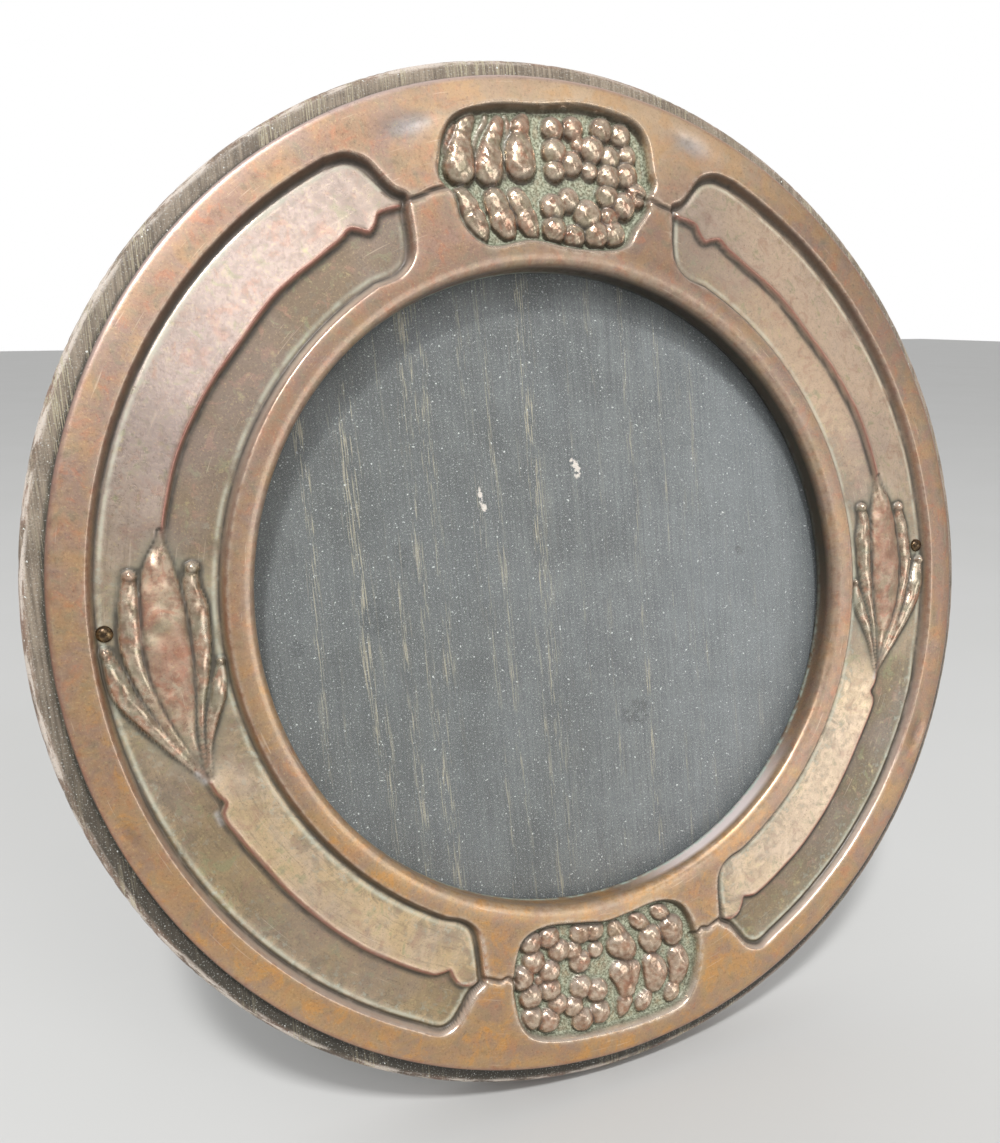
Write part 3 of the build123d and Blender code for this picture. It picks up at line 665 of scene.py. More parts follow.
def copper_sector(name, first, last, columns):
    """One sector of the copper's skin, worked out past its ends so that sectors match."""
    profile = skin_profile()
    step = math.radians(last - first) / columns
    angles = math.radians(first) + step * np.arange(-MARGIN, columns + 1 + MARGIN)
    u, v = turned(profile, angles)
    relief, shares = copper_relief(u, v)
    shown = np.zeros((len(profile), 1))
    shown[len(LINING_ROWS):FACE_STOP + EDGE_ROWS] = 1
    share = np.clip(profile[:, 1:] / BAND_TOP, 0, 1) ** 2
    w = np.minimum(profile[:, 1:] + (relief - BAND_TOP) * shown * share, BAND_TOP)
    keep = slice(MARGIN, -MARGIN)
    points = to_row(u[:, keep], v[:, keep], w[:, keep])
    mesh = grid_mesh(name, points, len(profile), columns + 1, whole_turn=False)
    found = skin_shares(profile, angles, w, shown, relief, shares)
    for layer, keys in LAYERS.items():
        store = mesh.attributes.new(layer, "FLOAT_COLOR", "POINT")
        values = np.stack([found[key] for key in keys], axis=-1)[:, keep]
        store.data.foreach_set("color", values.astype(np.float32).ravel())
    return mesh


def oak_mesh():
    """The turned oak ring, with a softly worn front arris and its rear rebate."""
    profile = [(OAK_BORE_R, -OAK_WEB), (OAK_BORE_R, 0)]
    profile += [(r, 0) for r in np.linspace(WINDOW_R + 4, COPPER_R - 1, 4)]
    profile += [(r, 0) for r in np.linspace(COPPER_R - 0.4, OAK_R - OAK_ARRIS, 7)[:-1]]
    profile += round_corner(OAK_R - OAK_ARRIS, -OAK_ARRIS, OAK_ARRIS, 90, 0, 9)
    rear_w = OAK_REAR_ROUND - OAK_THICK
    profile += [(OAK_R, w) for w in np.linspace(-OAK_ARRIS, rear_w, 12)[1:-1]]
    profile += round_corner(OAK_R - OAK_REAR_ROUND, rear_w, OAK_REAR_ROUND, 0, -90, 6)
    profile += [(r, -OAK_THICK) for r in np.linspace(OAK_R - 2, REBATE_R, 8)]
    profile += [(REBATE_R, -OAK_WEB)]
    profile = np.array(profile)
    angles = np.linspace(0, 2 * math.pi, OAK_COLUMNS, endpoint=False)
    rim = ease((profile[:, :1] - COPPER_R - 0.4) / 1.2) * ease((profile[:, 1:] + OAK_THICK) / 2)
    across = OAK_R * np.cos(angles)
    waves = np.sin(5.1 * across + 2 * np.sin(0.7 * across)) * np.sin(1.9 * across + 0.5)
    wear = RIM_WEAR * (1 + np.sin(9 * angles + 1.2 * np.sin(4 * angles)))
    wear += RIM_PORES * np.maximum(waves - 0.35, 0)
    radius = profile[:, :1] - rim * wear
    w = profile[:, 1:] + np.zeros(radius.shape)
    points = to_row(radius * np.cos(angles), radius * np.sin(angles), w)
    return grid_mesh("oak_ring_turned", points, len(profile), OAK_COLUMNS)


def disc_mesh(name, radius, front, back, edge):
    """A flat round plate with eased edges."""
    profile = [(DISC_MIDDLE_R, front), (radius * 0.5, front), (radius - 2 * edge, front)]
    profile += round_corner(radius - edge, front - edge, edge, 90, 0, 5)
    profile += round_corner(radius - edge, back + edge, edge, 0, -90, 5)
    profile += [(radius - 2 * edge, back), (radius * 0.5, back), (DISC_MIDDLE_R, back)]
    profile = np.array(profile)
    angles = np.linspace(0, 2 * math.pi, DISC_COLUMNS, endpoint=False)
    u, v = turned(profile, angles)
    points = to_row(u, v, profile[:, 1:] + np.zeros(u.shape))
    return grid_mesh(name, points, len(profile), DISC_COLUMNS, capped=True)


# Material helpers
def paint(red, green, blue):
    """A colour given as screen values from 0 to 255, as linear light."""
    screen = [part / 255 for part in (red, green, blue)]
    linear = [c / 12.92 if c <= 0.04045 else ((c + 0.055) / 1.055) ** 2.4 for c in screen]
    return (*linear, 1.0)


class Shader:
    """A node material, with short calls for the nodes it is made of."""

    def __init__(self, name):
        self.material = bpy.data.materials.new(name)
        self.material.use_nodes = True
        self.tree = self.material.node_tree
        self.surface = self.tree.nodes["Principled BSDF"]

    def add(self, kind, sockets=None, **settings):
        """A node with its settings, and its sockets set or linked."""
        node = self.tree.nodes.new(kind)
        for key, value in settings.items():
            setattr(node, key, value)
        for key, value in (sockets or {}).items():
            self.feed(node.inputs[key], value)
        return node

    def feed(self, socket, value):
        """Sets a socket to a value, or links it."""
        if isinstance(value, bpy.types.NodeSocket):
            self.tree.links.new(value, socket)
        else:
            socket.default_value = value

    def set(self, **sockets):
        """Sockets of the surface, with underscores for spaces."""
        for key, value in sockets.items():
            self.feed(self.surface.inputs[key.replace("_", " ")], value)

    def plate_place(self, stretch=(1, 1, 1), about=(0, 0, 0)):
        """Plate millimetres about a point, shrunk by a stretch along u, v and w."""
        sockets = {"Vector": self.add("ShaderNodeTexCoord").outputs["Object"]}
        sockets["Location"] = plate_point(*about)
        sockets["Rotation"] = plate_turn.to_euler()
        sockets["Scale"] = [MM * share for share in stretch]
        return self.add("ShaderNodeMapping", sockets, vector_type="TEXTURE").outputs["Vector"]

    def layer(self, name):
        """The four shares that a mesh stores under a name."""
        stored = self.add("ShaderNodeAttribute", attribute_name=name)
        parts = self.add("ShaderNodeSeparateColor", {"Color": stored.outputs["Color"]})
        return *parts.outputs, stored.outputs["Alpha"]

    def split(self, place):
        """The parts of a place along u, v and w."""
        return self.add("ShaderNodeSeparateXYZ", {0: place}).outputs

    def length(self, place):
        """Distance of a place from its origin."""
        return self.add("ShaderNodeVectorMath", {0: place}, operation="LENGTH").outputs["Value"]

    def radius(self, place):
        """Distance from the plate's centre line, in millimetres."""
        flat = self.add("ShaderNodeVectorMath", {0: place, 1: (1, 1, 0)}, operation="MULTIPLY")
        return self.length(flat.outputs[0])

    def round_place(self, place, along):
        """Place across and along the ring, with the way along it shrunk."""
        across, upright, _ = self.split(place)
        turn = self.math("ARCTAN2", across, upright, clamp=False)
        arc = self.math("MULTIPLY", turn, PANEL_IN_R * along, clamp=False)
        return self.add("ShaderNodeCombineXYZ", {0: self.radius(place), 1: arc}).outputs[0]

    def noise(self, place, scale, detail=4.0, rough=0.55, warp=0.0):
        """Cloudy noise from 0 to 1."""
        sockets = {"Vector": place, "Scale": scale, "Detail": detail, "Roughness": rough, "Distortion": warp}
        return self.add("ShaderNodeTexNoise", sockets).outputs["Fac"]

    def span(self, value, low, high, to_low=0.0, to_high=1.0):
        """A value moved smoothly from one range to another."""
        sockets = {"Value": value, "From Min": low, "From Max": high, "To Min": to_low, "To Max": to_high}
        return self.add("ShaderNodeMapRange", sockets, interpolation_type="SMOOTHSTEP").outputs["Result"]

    def math(self, kind, first, second=0.0, clamp=True):
        """A sum or the like of two values."""
        return self.add("ShaderNodeMath", {0: first, 1: second}, operation=kind, use_clamp=clamp).outputs[0]

    def times(self, first, second):
        """The product of two shares."""
        return self.math("MULTIPLY", first, second)

    def part(self, share, value, low, high, to_low=0.0, to_high=1.0):
        """The part of a share that a value's range leaves."""
        return self.times(share, self.span(value, low, high, to_low, to_high))

    def blend(self, share, first, second):
        """Two colours mixed by a share."""
        return self.add("ShaderNodeMix", {0: share, 6: first, 7: second}, data_type="RGBA").outputs[2]

    def washes(self, colour, layers):
        """A colour with others laid over it in turn, each by a share and a strength."""
        for share, most, shade in layers:
            colour = self.blend(self.times(share, most), colour, paint(*shade))
        return colour

    def bump(self, height, strength, distance_mm):
        """Fine relief on the surface normal."""
        sockets = {"Height": height, "Strength": strength, "Distance": distance_mm * MM}
        return self.add("ShaderNodeBump", sockets).outputs["Normal"]


# Copper: zones of tints, as the places across and up the plate where each one starts and where it is full;
# the top, lit-rim and quarter zones carry painted light and shade
LIT_CROWN = ((-40, 12), (62, 84))
LIT_RIM = ((40, -20), (10, 60))
LOW_RIGHT = ((15, 60), (-5, -40))
HIGH_LEFT = ((-15, -50), (5, 35))
HIGH_RIGHT = ((15, 50), (5, 35))
OCHRE_U = (70, -10)
OCHRE_V = (35, -60)
INNER_BAND_R = (63, 61)
INNER_BAND_V = (-55, -15)
TOP_DENTS_V = (40, 60)
LOW_FORMS_V = (-50, -62)
LOW_RUB_AND_HIGHLIGHT_V = (-40, -62)
CRUST_V = (45, -30)
BUD_INNER_U = (66.4, 68.6)
BUD_OUTER_U = (75, 72.8)
BUD_V = (17, 8)


class CopperShader(Shader):
    """The copper's shader, with the shares, noises and zones that its colours have in common."""

    def __init__(self, name):
        super().__init__(name)
        self.place = place = self.plate_place()
        self.across, self.upright, _ = self.split(place)
        for layer, keys in LAYERS.items():
            for key, share in zip(keys, self.layer(layer)):
                setattr(self, key, share)
        self.broad = self.noise(place, 0.05, 3.0)
        self.patch = self.noise(place, 0.17, 5.0, 0.6, 0.6)
        self.stain = self.noise(place, 0.32, 5.0, 0.65, 0.8)
        self.mottle = self.noise(place, 0.7, 5.0, 0.65)
        self.grit = self.noise(place, 2.6, 4.0, 0.7)
        low = self.part(self.span(self.upright, *OCHRE_V), self.across, *OCHRE_U, 0.3)
        self.ochre = self.part(low, self.patch, 0.3, 0.66, 0.35)
        self.high_left = self.zone(HIGH_LEFT)
        # Painted glare on the lit upper-left facets, which also makes them glossier
        self.polish_and_glare = self.part(self.high_left, self.tone, 0.4, 0.9)
        self.bud = self.bud_share()
        rubbed = self.part(self.worn, self.mottle, 0.34, 0.6, 0.2)
        rubbed = self.part(rubbed, self.panel, 0.0, 1.0, 1.0, 0.6)
        self.rubbed = self.part(rubbed, self.bud, 0.0, 1.0, 1.0, 0.3)

    def zone(self, sides):
        """The share of a zone given by its places across and up the plate."""
        across, upright = sides
        return self.part(self.span(self.across, *across), self.upright, *upright)

    def bud_share(self):
        """The share of the two flowers' buds."""
        aside = self.math("ABSOLUTE", self.across, clamp=False)
        level = self.math("ABSOLUTE", self.upright, clamp=False)
        between = self.part(self.span(aside, *BUD_INNER_U), aside, *BUD_OUTER_U)
        return self.times(self.part(between, level, *BUD_V), self.form)


def copper_bands(s):
    """The raised bands: ochre and gold low down, paler at the top partly as a painted reflection, red at worn
    edges, with a painted highlight along the upper-left rim and painted reflections in the top dents.
    """
    lit_crown = s.zone(LIT_CROWN)
    inner = s.part(s.span(s.radius(s.place), *INNER_BAND_R), s.upright, *INNER_BAND_V)
    gold = s.noise(s.place, 0.24, 6.0, 0.7, 0.5)
    band = s.blend(s.span(s.patch, 0.34, 0.66), paint(154, 128, 114), paint(174, 140, 104))
    return s.washes(band, [
        (s.span(s.broad, 0.42, 0.6), 0.5, (156, 122, 106)),
        (s.span(s.stain, 0.5, 0.66), 0.5, (136, 130, 108)),
        (s.span(s.stain, 0.47, 0.34), 0.6, (180, 122, 94)),
        # Paler top of the ring, partly a painted reflection
        (lit_crown, 0.7, (220, 190, 154)),
        (s.part(lit_crown, s.patch, 0.46, 0.6), 0.3, (206, 150, 90)),
        (inner, 0.18, (92, 74, 62)),
        (s.ochre, 0.6, (190, 150, 96)),
        (s.part(s.ochre, gold, 0.5, 0.62), 0.6, (212, 148, 66)),
        (s.math("MAXIMUM", s.rim, s.band_edge), 0.6, (148, 96, 80)),
        # Painted highlight along the rim's edge at the upper left
        (s.times(s.rim, s.zone(LIT_RIM)), 0.6, (230, 210, 204)),
        # Painted reflection in the dents of the top band
        (s.part(s.dent, s.upright, *TOP_DENTS_V), 0.55, (196, 198, 202)),
    ])


def copper_facets(s):
    """The side panels' facets, one painted as lit and one as shaded, with streaks and stains, and painted
    light and shade with other tints in each quarter of the ring.
    """
    streak = s.noise(s.round_place(s.place, 0.1), 1.6, 4.0, 0.65)
    low_right = s.zone(LOW_RIGHT)
    # The two facets: one copper, painted shaded on one side of the ridge and lit on the other
    facet = s.blend(s.span(s.tone, 0.1, 0.9), paint(136, 119, 98), paint(190, 170, 150))
    return s.washes(facet, [
        (s.part(s.ochre, s.tone, 0.2, 0.8, 0.4, 0.65), 1.0, (226, 192, 136)),
        (s.span(s.patch, 0.4, 0.7), 0.4, (164, 142, 114)),
        (s.span(streak, 0.5, 0.72), 0.4, (112, 98, 78)),
        # Painted light and shade per quarter: shaded and lit facets low right, a mauve tint, glare and shaded
        # facets high left, lit facets high right
        (s.part(low_right, s.tone, 0.7, 0.2), 0.6, (106, 96, 80)),
        (s.part(low_right, s.tone, 0.4, 0.8), 0.65, (236, 210, 174)),
        (s.high_left, 0.5, (138, 112, 104)),
        (s.polish_and_glare, 0.4, (168, 156, 156)),
        (s.part(s.high_left, s.tone, 0.6, 0.2), 0.4, (118, 106, 78)),
        (s.zone(HIGH_RIGHT), 0.5, (234, 202, 174)),
        (s.span(s.stain, 0.52, 0.66), 0.45, (180, 136, 116)),
        (s.span(s.stain, 0.45, 0.32), 0.55, (148, 150, 114)),
        (s.span(s.mottle, 0.42, 0.3), 0.4, (196, 182, 132)),
        (s.span(s.broad, 0.45, 0.62), 0.3, (156, 140, 138)),
    ])


def copper_forms(s):
    """The flowers, pods and berries, with olive and red stains."""
    shape = s.blend(s.span(s.mottle, 0.35, 0.66), paint(146, 118, 98), paint(208, 188, 162))
    return s.washes(shape, [
        (s.span(s.stain, 0.5, 0.64), 0.7, (158, 154, 126)),
        (s.span(s.stain, 0.49, 0.37), 0.65, (178, 116, 90)),
        (s.span(s.upright, *LOW_FORMS_V), 0.45, (152, 106, 84)),
        (s.part(s.bud, s.patch, 0.4, 0.6, 0.1, 0.6), 1.0, (170, 116, 96)),
    ])


def copper_wear_and_painted_light(s, colour):
    """A colour with specks, scratches, rubbed high places laid on more strongly low down as a painted
    highlight, painted highlights on up-facing slopes, painted glints by the ridges, painted shade on
    down-facing slopes and red ridge lines.
    """
    scratch = s.noise(s.round_place(s.place, 0.05), 2.2, 2.0, 0.5, 0.4)
    return s.washes(colour, [
        (s.span(s.mottle, 0.5, 0.72), 0.28, (108, 90, 74)),
        (s.span(s.grit, 0.55, 0.72), 0.4, (214, 190, 138)),
        (s.span(s.grit, 0.46, 0.28), 0.45, (84, 64, 52)),
        (s.span(scratch, 0.66, 0.74), 0.3, (226, 206, 184)),
        # Rubbed high places, laid on more strongly low down as a painted highlight
        (s.part(s.rubbed, s.upright, *LOW_RUB_AND_HIGHLIGHT_V, 0.55, 0.75), 1.0, (224, 206, 184)),
        # Painted highlight on slopes that face up
        (s.over, 0.6, (228, 214, 202)),
        # Painted glints beside the ridges
        (s.part(s.glint, s.mottle, 0.3, 0.55, 0.4, 0.75), 1.0, (238, 232, 228)),
        # Painted shade on slopes that face down
        (s.under, 0.8, (66, 54, 44)),
        (s.line, 0.8, (138, 72, 58)),
    ])


def copper_patina_and_painted_light(s, colour):
    """A colour with crusts, dark hollows of patina with painted shade, a pale foot line of verdigris with a
    painted highlight, green ground, and the lining's painted highlight, painted shade and verdigris, and its
    dull share.
    """
    eaten = s.part(s.wall, s.upright, *CRUST_V, 0.35)
    deep = s.part(s.hollow, s.patch, 0.3, 0.55, 0.65)
    pale = s.part(s.foot, s.patch, 0.34, 0.6, 0.15, 0.8)
    pale = s.times(pale, s.math("SUBTRACT", 1.0, s.under))
    earth = s.part(s.ground, s.mottle, 0.25, 0.6, 0.5)
    earth = s.part(earth, s.under, 0.1, 0.7, 1.0, 0.15)
    earthy = s.blend(s.span(s.grit, 0.38, 0.62), paint(108, 112, 90), paint(196, 202, 176))
    green = s.part(s.verdigris, s.mottle, 0.35, 0.62)
    colour = s.washes(colour, [
        (s.part(s.halo, s.stain, 0.35, 0.6, 0.3), 0.5, (164, 170, 144)),
        (s.part(eaten, s.stain, 0.44, 0.56), 0.6, (92, 102, 86)),
        (s.part(eaten, s.mottle, 0.54, 0.66), 0.55, (198, 206, 192)),
        # Dark hollows: patina, with painted shade between the forms
        (deep, 0.88, (52, 46, 38)),
        # Pale line at the panels' foot: verdigris with a painted highlight
        (pale, 0.6, (206, 208, 188)),
    ])
    colour = s.blend(s.times(earth, 0.85), colour, earthy)
    colour = s.washes(colour, [
        # The lining's painted shade and painted highlight, then its verdigris
        (s.lining_dim, 0.9, (58, 54, 44)),
        (s.lining_lit, 0.9, (250, 238, 236)),
        (green, 0.85, (196, 218, 206)),
    ])
    dull = pale
    for share in (earth, green, deep, s.lining_lit):
        dull = s.math("MAXIMUM", dull, share)
    return colour, dull


def copper_material():
    """Brown patinated copper, glossy where it is rubbed and rough where its crust is dull, with painted light
    and shade in its colour.
    """
    s = CopperShader("aged_copper")
    colour = s.blend(s.span(s.panel, 0.25, 1.0), copper_bands(s), copper_facets(s))
    colour = s.blend(s.times(s.form, 0.85), colour, copper_forms(s))
    colour, dull = copper_patina_and_painted_light(s, copper_wear_and_painted_light(s, colour))
    s.set(Base_Color=colour)
    s.set(Metallic=s.span(dull, 0.0, 0.8, 0.62, 0.2))
    s.set(Coat_Weight=0.25, Coat_Roughness=0.22)
    rough = s.math("ADD", s.span(s.mottle, 0.3, 0.75, 0.32, 0.52), s.times(dull, 0.2))
    rough = s.math("ADD", rough, s.times(s.bud, 0.12))
    rough = s.math("SUBTRACT", rough, s.times(s.times(s.polish_and_glare, s.panel), 0.14))
    gloss = s.part(s.math("MAXIMUM", s.rubbed, s.form), s.bud, 0.0, 1.0, 0.2, 0.0)
    s.set(Roughness=s.math("SUBTRACT", rough, gloss))
    fine = s.math("ADD", s.times(s.grit, 0.4), s.times(s.mottle, 0.6))
    s.set(Normal=s.bump(fine, 0.4, 0.12))
    return s.material


# Oak: zones of tints, as the places where each one starts and is full, then how drawn out its marks are; the
# rim's low and shaded zones are painted shade
RIM_LOW_SHADE_V = (-30, -85)
RIM_SHADED_V = (15, -40)
RIM_CHIPPED_U = (40, -40)
ARRIS_W = (-3.4, -1.8)
BOARD_DARK_U = (40, -45)
BOARD_PALE_U = (5, 50)
PORE_STRETCH = (1, 30, 4)
FIBRE_STRETCH = (1, 60, 6)
STREAK_STRETCH = (1, 9, 1)


def grain_bands(s, across, early):
    """The board's broken bands of open grain, over a trace of the wood's own."""
    early = s.times(early, 0.2)
    for middle, half, strength in GRAIN_BANDS:
        band = s.part(s.span(across, middle - half, middle), across, middle + half, middle)
        early = s.math("ADD", early, s.times(band, strength))
    patchy = s.noise(s.plate_place(PORE_STRETCH), 0.35, 3.0, 0.6)
    streaky = s.noise(s.plate_place(STREAK_STRETCH), 1.1, 3.0, 0.6)
    return s.times(early, s.part(s.span(patchy, 0.4, 0.56), streaky, 0.38, 0.6))


def worn_and_shaded_rim(s, place, cloud, colour, pores):
    """The ring's colour and pores, with painted shade low down and beside the copper, a painted shadow with
    some grime in the join at the copper's foot, and chips along a reddish arris.
    """
    away = s.radius(place)
    across, upright, depth = s.split(place)
    shaded = s.part(s.span(away, COPPER_R + 3.3, COPPER_R + 2.1), upright, *RIM_SHADED_V)
    arris = s.part(s.span(away, OAK_R - 1.5, OAK_R - 0.6), depth, *ARRIS_W)
    chips = s.part(arris, s.noise(s.round_place(place, 0.2), 0.9, 4.0, 0.65), 0.46, 0.57)
    colour = s.washes(colour, [
        # Painted shade over the lower rim
        (s.span(upright, *RIM_LOW_SHADE_V), 0.75, (66, 60, 50)),
        (shaded, 0.85, (46, 42, 34)),
        (s.part(s.span(away, OAK_R - 1.6, OAK_R - 0.3), cloud, 0.4, 0.58, 0.2), 0.6, (140, 104, 90)),
        (s.part(chips, across, *RIM_CHIPPED_U, 0.3), 0.85, (218, 206, 194)),
        # Painted shadow, with some grime, in the join at the copper's foot
        (s.span(away, COPPER_R + 1.0, COPPER_R + 0.2), 0.85, (46, 46, 36)),
    ])
    pores = s.part(pores, shaded, 0.2, 1.0, 1.0, 0.25)
    return colour, s.part(pores, depth, 0.3 - OAK_THICK, 1.5 - OAK_THICK, 0.4)


def board_marks(s, place, across, colour):
    """The board's colour, darker on the left and paler on the right, with smudges and chips."""
    colour = s.washes(colour, [
        (s.span(across, *BOARD_DARK_U), 0.5, (70, 72, 66)),
        (s.span(across, *BOARD_PALE_U), 0.4, (128, 134, 136)),
    ])
    rough_edge = s.span(s.noise(place, 1.1, 3.0, 0.6), 0.36, 0.6, 0.1)
    for spots, most, shade in ((SMUDGES, 0.6, (60, 62, 58)), (CHIPS, 1.0, (232, 222, 210))):
        for spot_u, spot_v, size, tall in spots:
            about = s.plate_place((size, size * tall, size), (spot_u, spot_v, BOARD_FRONT))
            ragged = s.span(s.part(rough_edge, s.length(about), 1.0, 0.0), 0.1, 0.4)
            colour = s.washes(colour, [(ragged, most, shade)])
    return colour


def oak_material(name, dark, pale, dusty, gloss, rim=False, marks=False):
    """Ebonised oak with upright grain, pale pores and dust, with a worn rim carrying painted shade or a
    marked face.
    """
    s = Shader(name)
    place = s.plate_place()
    across, _, _ = s.split(place)
    longer = s.plate_place(FIBRE_STRETCH)
    rings = s.noise(longer, 0.2, 3.0, 0.6, 0.3)
    groups = s.noise(longer, 0.06, 2.0, 0.5)
    fibre = s.noise(longer, 2.2, 4.0, 0.7)
    cloud = s.noise(place, 0.1, 5.0, 0.65)
    early = s.part(s.span(rings, 0.46, 0.6), groups, 0.4, 0.6, 0.25)
    if marks:
        early = grain_bands(s, across, early)
    pore = s.noise(s.plate_place(PORE_STRETCH), 4.6, 2.0, 0.5)
    pores = s.part(s.span(pore, 0.49, 0.6), early, 0.0, 0.7, 0.03)
    shade = s.math("ADD", s.times(fibre, 0.55), s.times(cloud, 0.45))
    colour = s.blend(s.span(shade, 0.38, 0.62), dark, pale)
    colour = s.blend(s.span(early, 0.0, 1.0, 0.0, 0.35), colour, dark)
    if rim:
        colour, pores = worn_and_shaded_rim(s, place, cloud, colour, pores)
    if marks:
        colour = board_marks(s, place, across, colour)
    speck = s.noise(place, 2.1, 1.0, 0.4)
    dust = s.noise(place, 3.6, 1.0, 0.5)
    s.set(Base_Color=s.washes(colour, [
        (pores, dusty, (186, 176, 148)),
        (s.span(speck, 0.735, 0.78), 1.0, (226, 228, 222)),
        (s.span(dust, 0.6, 0.72), 0.5, (194, 196, 190)),
        (s.span(dust, 0.42, 0.3), 0.35, (52, 54, 50)),
    ]))
    s.set(Roughness=s.span(fibre, 0.25, 0.75, gloss, gloss + 0.2))
    s.set(Normal=s.bump(s.math("SUBTRACT", fibre, pores), 0.3, 0.1))
    return s.material


# Brass, glass and floor
def brass_material():
    """Aged satin brass for the hinge, screws and turn buttons."""
    s = Shader("aged_brass")
    place = s.plate_place()
    patch = s.noise(place, 0.35, 5.0, 0.6)
    speck = s.noise(place, 2.4, 4.0, 0.7)
    colour = s.blend(s.span(patch, 0.35, 0.68), paint(164, 132, 74), paint(118, 92, 54))
    s.set(Base_Color=s.washes(colour, [(s.span(speck, 0.62, 0.74), 0.7, (70, 56, 38))]))
    s.set(Metallic=0.95, Roughness=s.span(patch, 0.3, 0.7, 0.26, 0.46), Normal=s.bump(speck, 0.2, 0.06))
    return s.material


def pin_material():
    """Dark tarnished brass for the two dome-headed pins, rubbed a little brighter in places."""
    s = Shader("tarnished_brass")
    patch = s.noise(s.plate_place(), 0.9, 4.0, 0.6)
    s.set(Base_Color=s.blend(s.span(patch, 0.45, 0.75), paint(74, 60, 46), paint(150, 124, 88)))
    s.set(Metallic=0.85, Roughness=s.span(patch, 0.3, 0.7, 0.34, 0.22))
    return s.material


def glass_material():
    """Clear pane with a thin even film of dust, which also lays a painted sheen over the board, and a few
    larger specks.
    """
    s = Shader("dusty_glass")
    place = s.plate_place()
    dust_and_sheen = s.noise(place, 0.05, 4.0, 0.55)
    speck = s.noise(place, 1.3, 2.0, 0.6)
    gathered = s.span(s.radius(place), WINDOW_R - DUSTY_EDGE, WINDOW_R, 0.0, 0.06)
    specks = s.span(s.math("ADD", speck, gathered), 0.73, 0.78)
    s.set(Base_Color=s.blend(specks, paint(190, 198, 204), paint(236, 238, 236)))
    s.set(Alpha=s.math("ADD", s.span(dust_and_sheen, 0.3, 0.7, 0.05, 0.08), s.times(specks, 0.45)))
    s.set(Roughness=0.2)
    return s.material


def floor_material():
    """Plain pale floor."""
    s = Shader("pale_floor")
    cloud = s.noise(s.plate_place(), 0.01, 2.0)
    s.set(Base_Color=s.blend(cloud, paint(198, 198, 196), paint(204, 204, 203)))
    s.set(Roughness=0.6)
    return s.material


# Pieces: the copper's sectors as (first angle, last angle, columns), the bridges being those with an ornament
BRIDGE = 17.0
SIDE_COLUMNS = 710
BRIDGE_COLUMNS = 190
SECTORS = {
    "copper_right": (BRIDGE - 90, 90 - BRIDGE, SIDE_COLUMNS),
    "copper_top": (90 - BRIDGE, 90 + BRIDGE, BRIDGE_COLUMNS),
    "copper_left": (90 + BRIDGE, 270 - BRIDGE, SIDE_COLUMNS),
    "copper_bottom": (270 - BRIDGE, 270 + BRIDGE, BRIDGE_COLUMNS),
}
copper = copper_material()
for name, (first, last, columns) in SECTORS.items():
    place(name, copper_sector(name, first, last, columns), copper, "copper_front", "aged_copper")

ring_oak = oak_material("ebonised_oak_ring", paint(104, 92, 78), paint(160, 146, 128), 0.7, 0.42, rim=True)
place("oak_ring_turned", oak_mesh(), ring_oak, "oak_ring", "dark_oak")

pane = disc_mesh("glass_disc", half_width("glass_pane"), GLASS_FRONT, GLASS_BACK, GLASS_EDGE)
place("glass_disc", pane, glass_material(), "glass_pane", "clear_glass")

board = disc_mesh("board_disc", half_width("backboard"), BOARD_FRONT, BOARD_BACK, BOARD_EDGE)
board_tones = paint(86, 88, 87), paint(118, 121, 119)
board_oak = oak_material("ebonised_oak_board", *board_tones, 0.75, 0.42, marks=True)
place("board_disc", board, board_oak, "backboard", "dark_oak")

# The CAD's own nodes, brass apart from the strut, whose edges look crisp from an angle on
CRISP_ANGLE = math.radians(30)
brass = brass_material()
strut_oak = oak_material("ebonised_oak_strut", paint(84, 74, 62), paint(122, 108, 92), 0.5, 0.45)
finishes = {"strut": strut_oak, "copper_pins": pin_material()}
for name, node in frame["nodes"].items():
    node.data.materials.clear()
    node.data.materials.append(finishes.get(name, brass))
    crisp = node.modifiers.new("crisp_edges", "EDGE_SPLIT")
    crisp.split_angle = CRISP_ANGLE

# Stage, light and camera: sizes here are in metres, apart from the camera's places on the plate
FLOOR_HALF = 4.0
WORLD_FRONT = 0.4
WORLD_BEHIND = 1.0
WORLD_TURN = (-0.1, 0.6)
LIGHT_AIM = (0, 0, 0.09)
# Soft square lights as (place, size, power)
LIGHTS = {
    "key": ((-0.33, -0.62, 1.07), 0.14, 10.0),
    "front_softbox": ((0.11, -0.93, 0.83), 0.5, 2.4),
    "low_softbox": ((0.6, -0.9, 0.2), 0.4, 1.5),
}
CAMERA_AT = (-79.9, 9.1, 164.1)
CAMERA_AIM = (-17.1, -13.2, 2.8)
CAMERA_CLIP = (0.005, 50.0)
SENSOR_MM = 36.0
FRAME_WIDE = 1000
FRAME_TALL = 1143
FOCAL_PIXELS = 1000.0
AXIS_PIXEL = (498.5, 680.5)


def add_floor():
    """A wide pale floor under the frame."""
    mesh = bpy.data.meshes.new("floor")
    corners = [(-1, -1), (1, -1), (1, 1), (-1, 1)]
    mesh.from_pydata([(FLOOR_HALF * x, FLOOR_HALF * y, 0) for x, y in corners], [], [(0, 1, 2, 3)])
    floor = bpy.data.objects.new("floor", mesh)
    bpy.context.scene.collection.objects.link(floor)
    mesh.materials.append(floor_material())


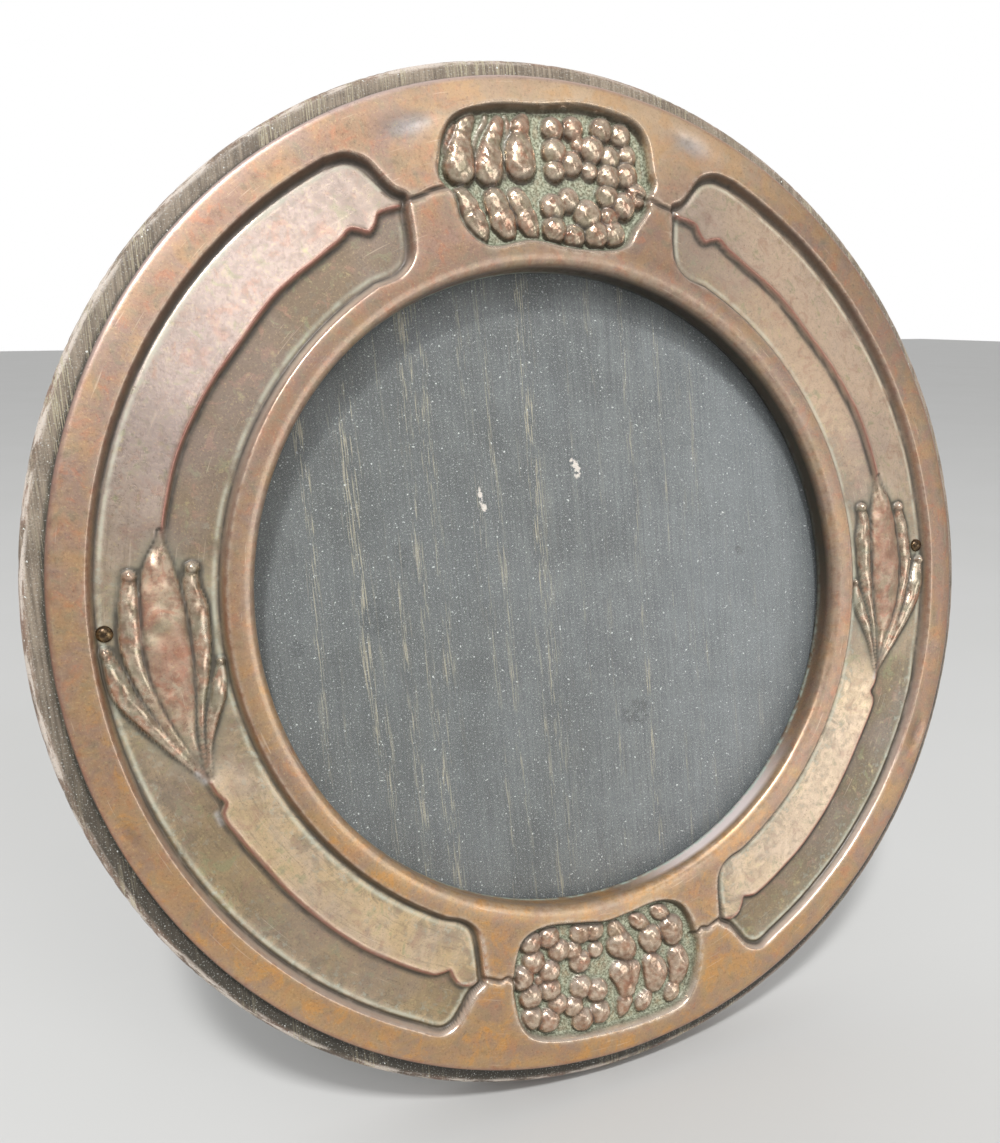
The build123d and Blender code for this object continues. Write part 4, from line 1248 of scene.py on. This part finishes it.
def stand(name, data, at, aim):
    """A light or a camera that looks from one place to another."""
    holder = bpy.data.objects.new(name, data)
    holder.location = at
    holder.rotation_mode = "QUATERNION"
    holder.rotation_quaternion = (Vector(aim) - Vector(at)).to_track_quat("-Z", "Y")
    bpy.context.scene.collection.objects.link(holder)
    return holder


def add_lights():
    """The soft square lights, all aimed at the middle of the frame."""
    for name, (at, size, power) in LIGHTS.items():
        light = bpy.data.lights.new(name, "AREA")
        light.size = size
        light.energy = power
        stand(name, light, at, LIGHT_AIM)


def add_world():
    """White light from all round, brighter from behind the frame than from in front of it."""
    world = bpy.data.worlds.new("studio")
    world.use_nodes = True
    nodes, links = world.node_tree.nodes, world.node_tree.links
    direction = nodes.new("ShaderNodeSeparateXYZ")
    links.new(nodes.new("ShaderNodeTexCoord").outputs["Generated"], direction.inputs[0])
    strength = nodes.new("ShaderNodeMapRange")
    strength.inputs["From Min"].default_value, strength.inputs["From Max"].default_value = WORLD_TURN
    strength.inputs["To Min"].default_value = WORLD_FRONT
    strength.inputs["To Max"].default_value = WORLD_BEHIND
    links.new(direction.outputs["Y"], strength.inputs["Value"])
    background = nodes["Background"]
    background.inputs["Color"].default_value = (1.0, 1.0, 1.0, 1.0)
    links.new(strength.outputs["Result"], background.inputs["Strength"])
    bpy.context.scene.world = world


def add_camera():
    """The photograph's viewpoint: a close view from the left, with its frame raised above the lens axis."""
    camera = bpy.data.cameras.new("camera")
    camera.sensor_width = SENSOR_MM
    camera.lens = camera.sensor_width * FOCAL_PIXELS / FRAME_TALL
    camera.shift_x = (FRAME_WIDE / 2 - AXIS_PIXEL[0]) / FRAME_TALL
    camera.shift_y = (AXIS_PIXEL[1] - FRAME_TALL / 2) / FRAME_TALL
    camera.clip_start, camera.clip_end = CAMERA_CLIP
    holder = stand("camera", camera, plate_point(*CAMERA_AT), plate_point(*CAMERA_AIM))
    bpy.context.scene.camera = holder


add_floor()
add_world()
add_lights()
add_camera()
bpy.context.scene.view_settings.view_transform = "Standard"
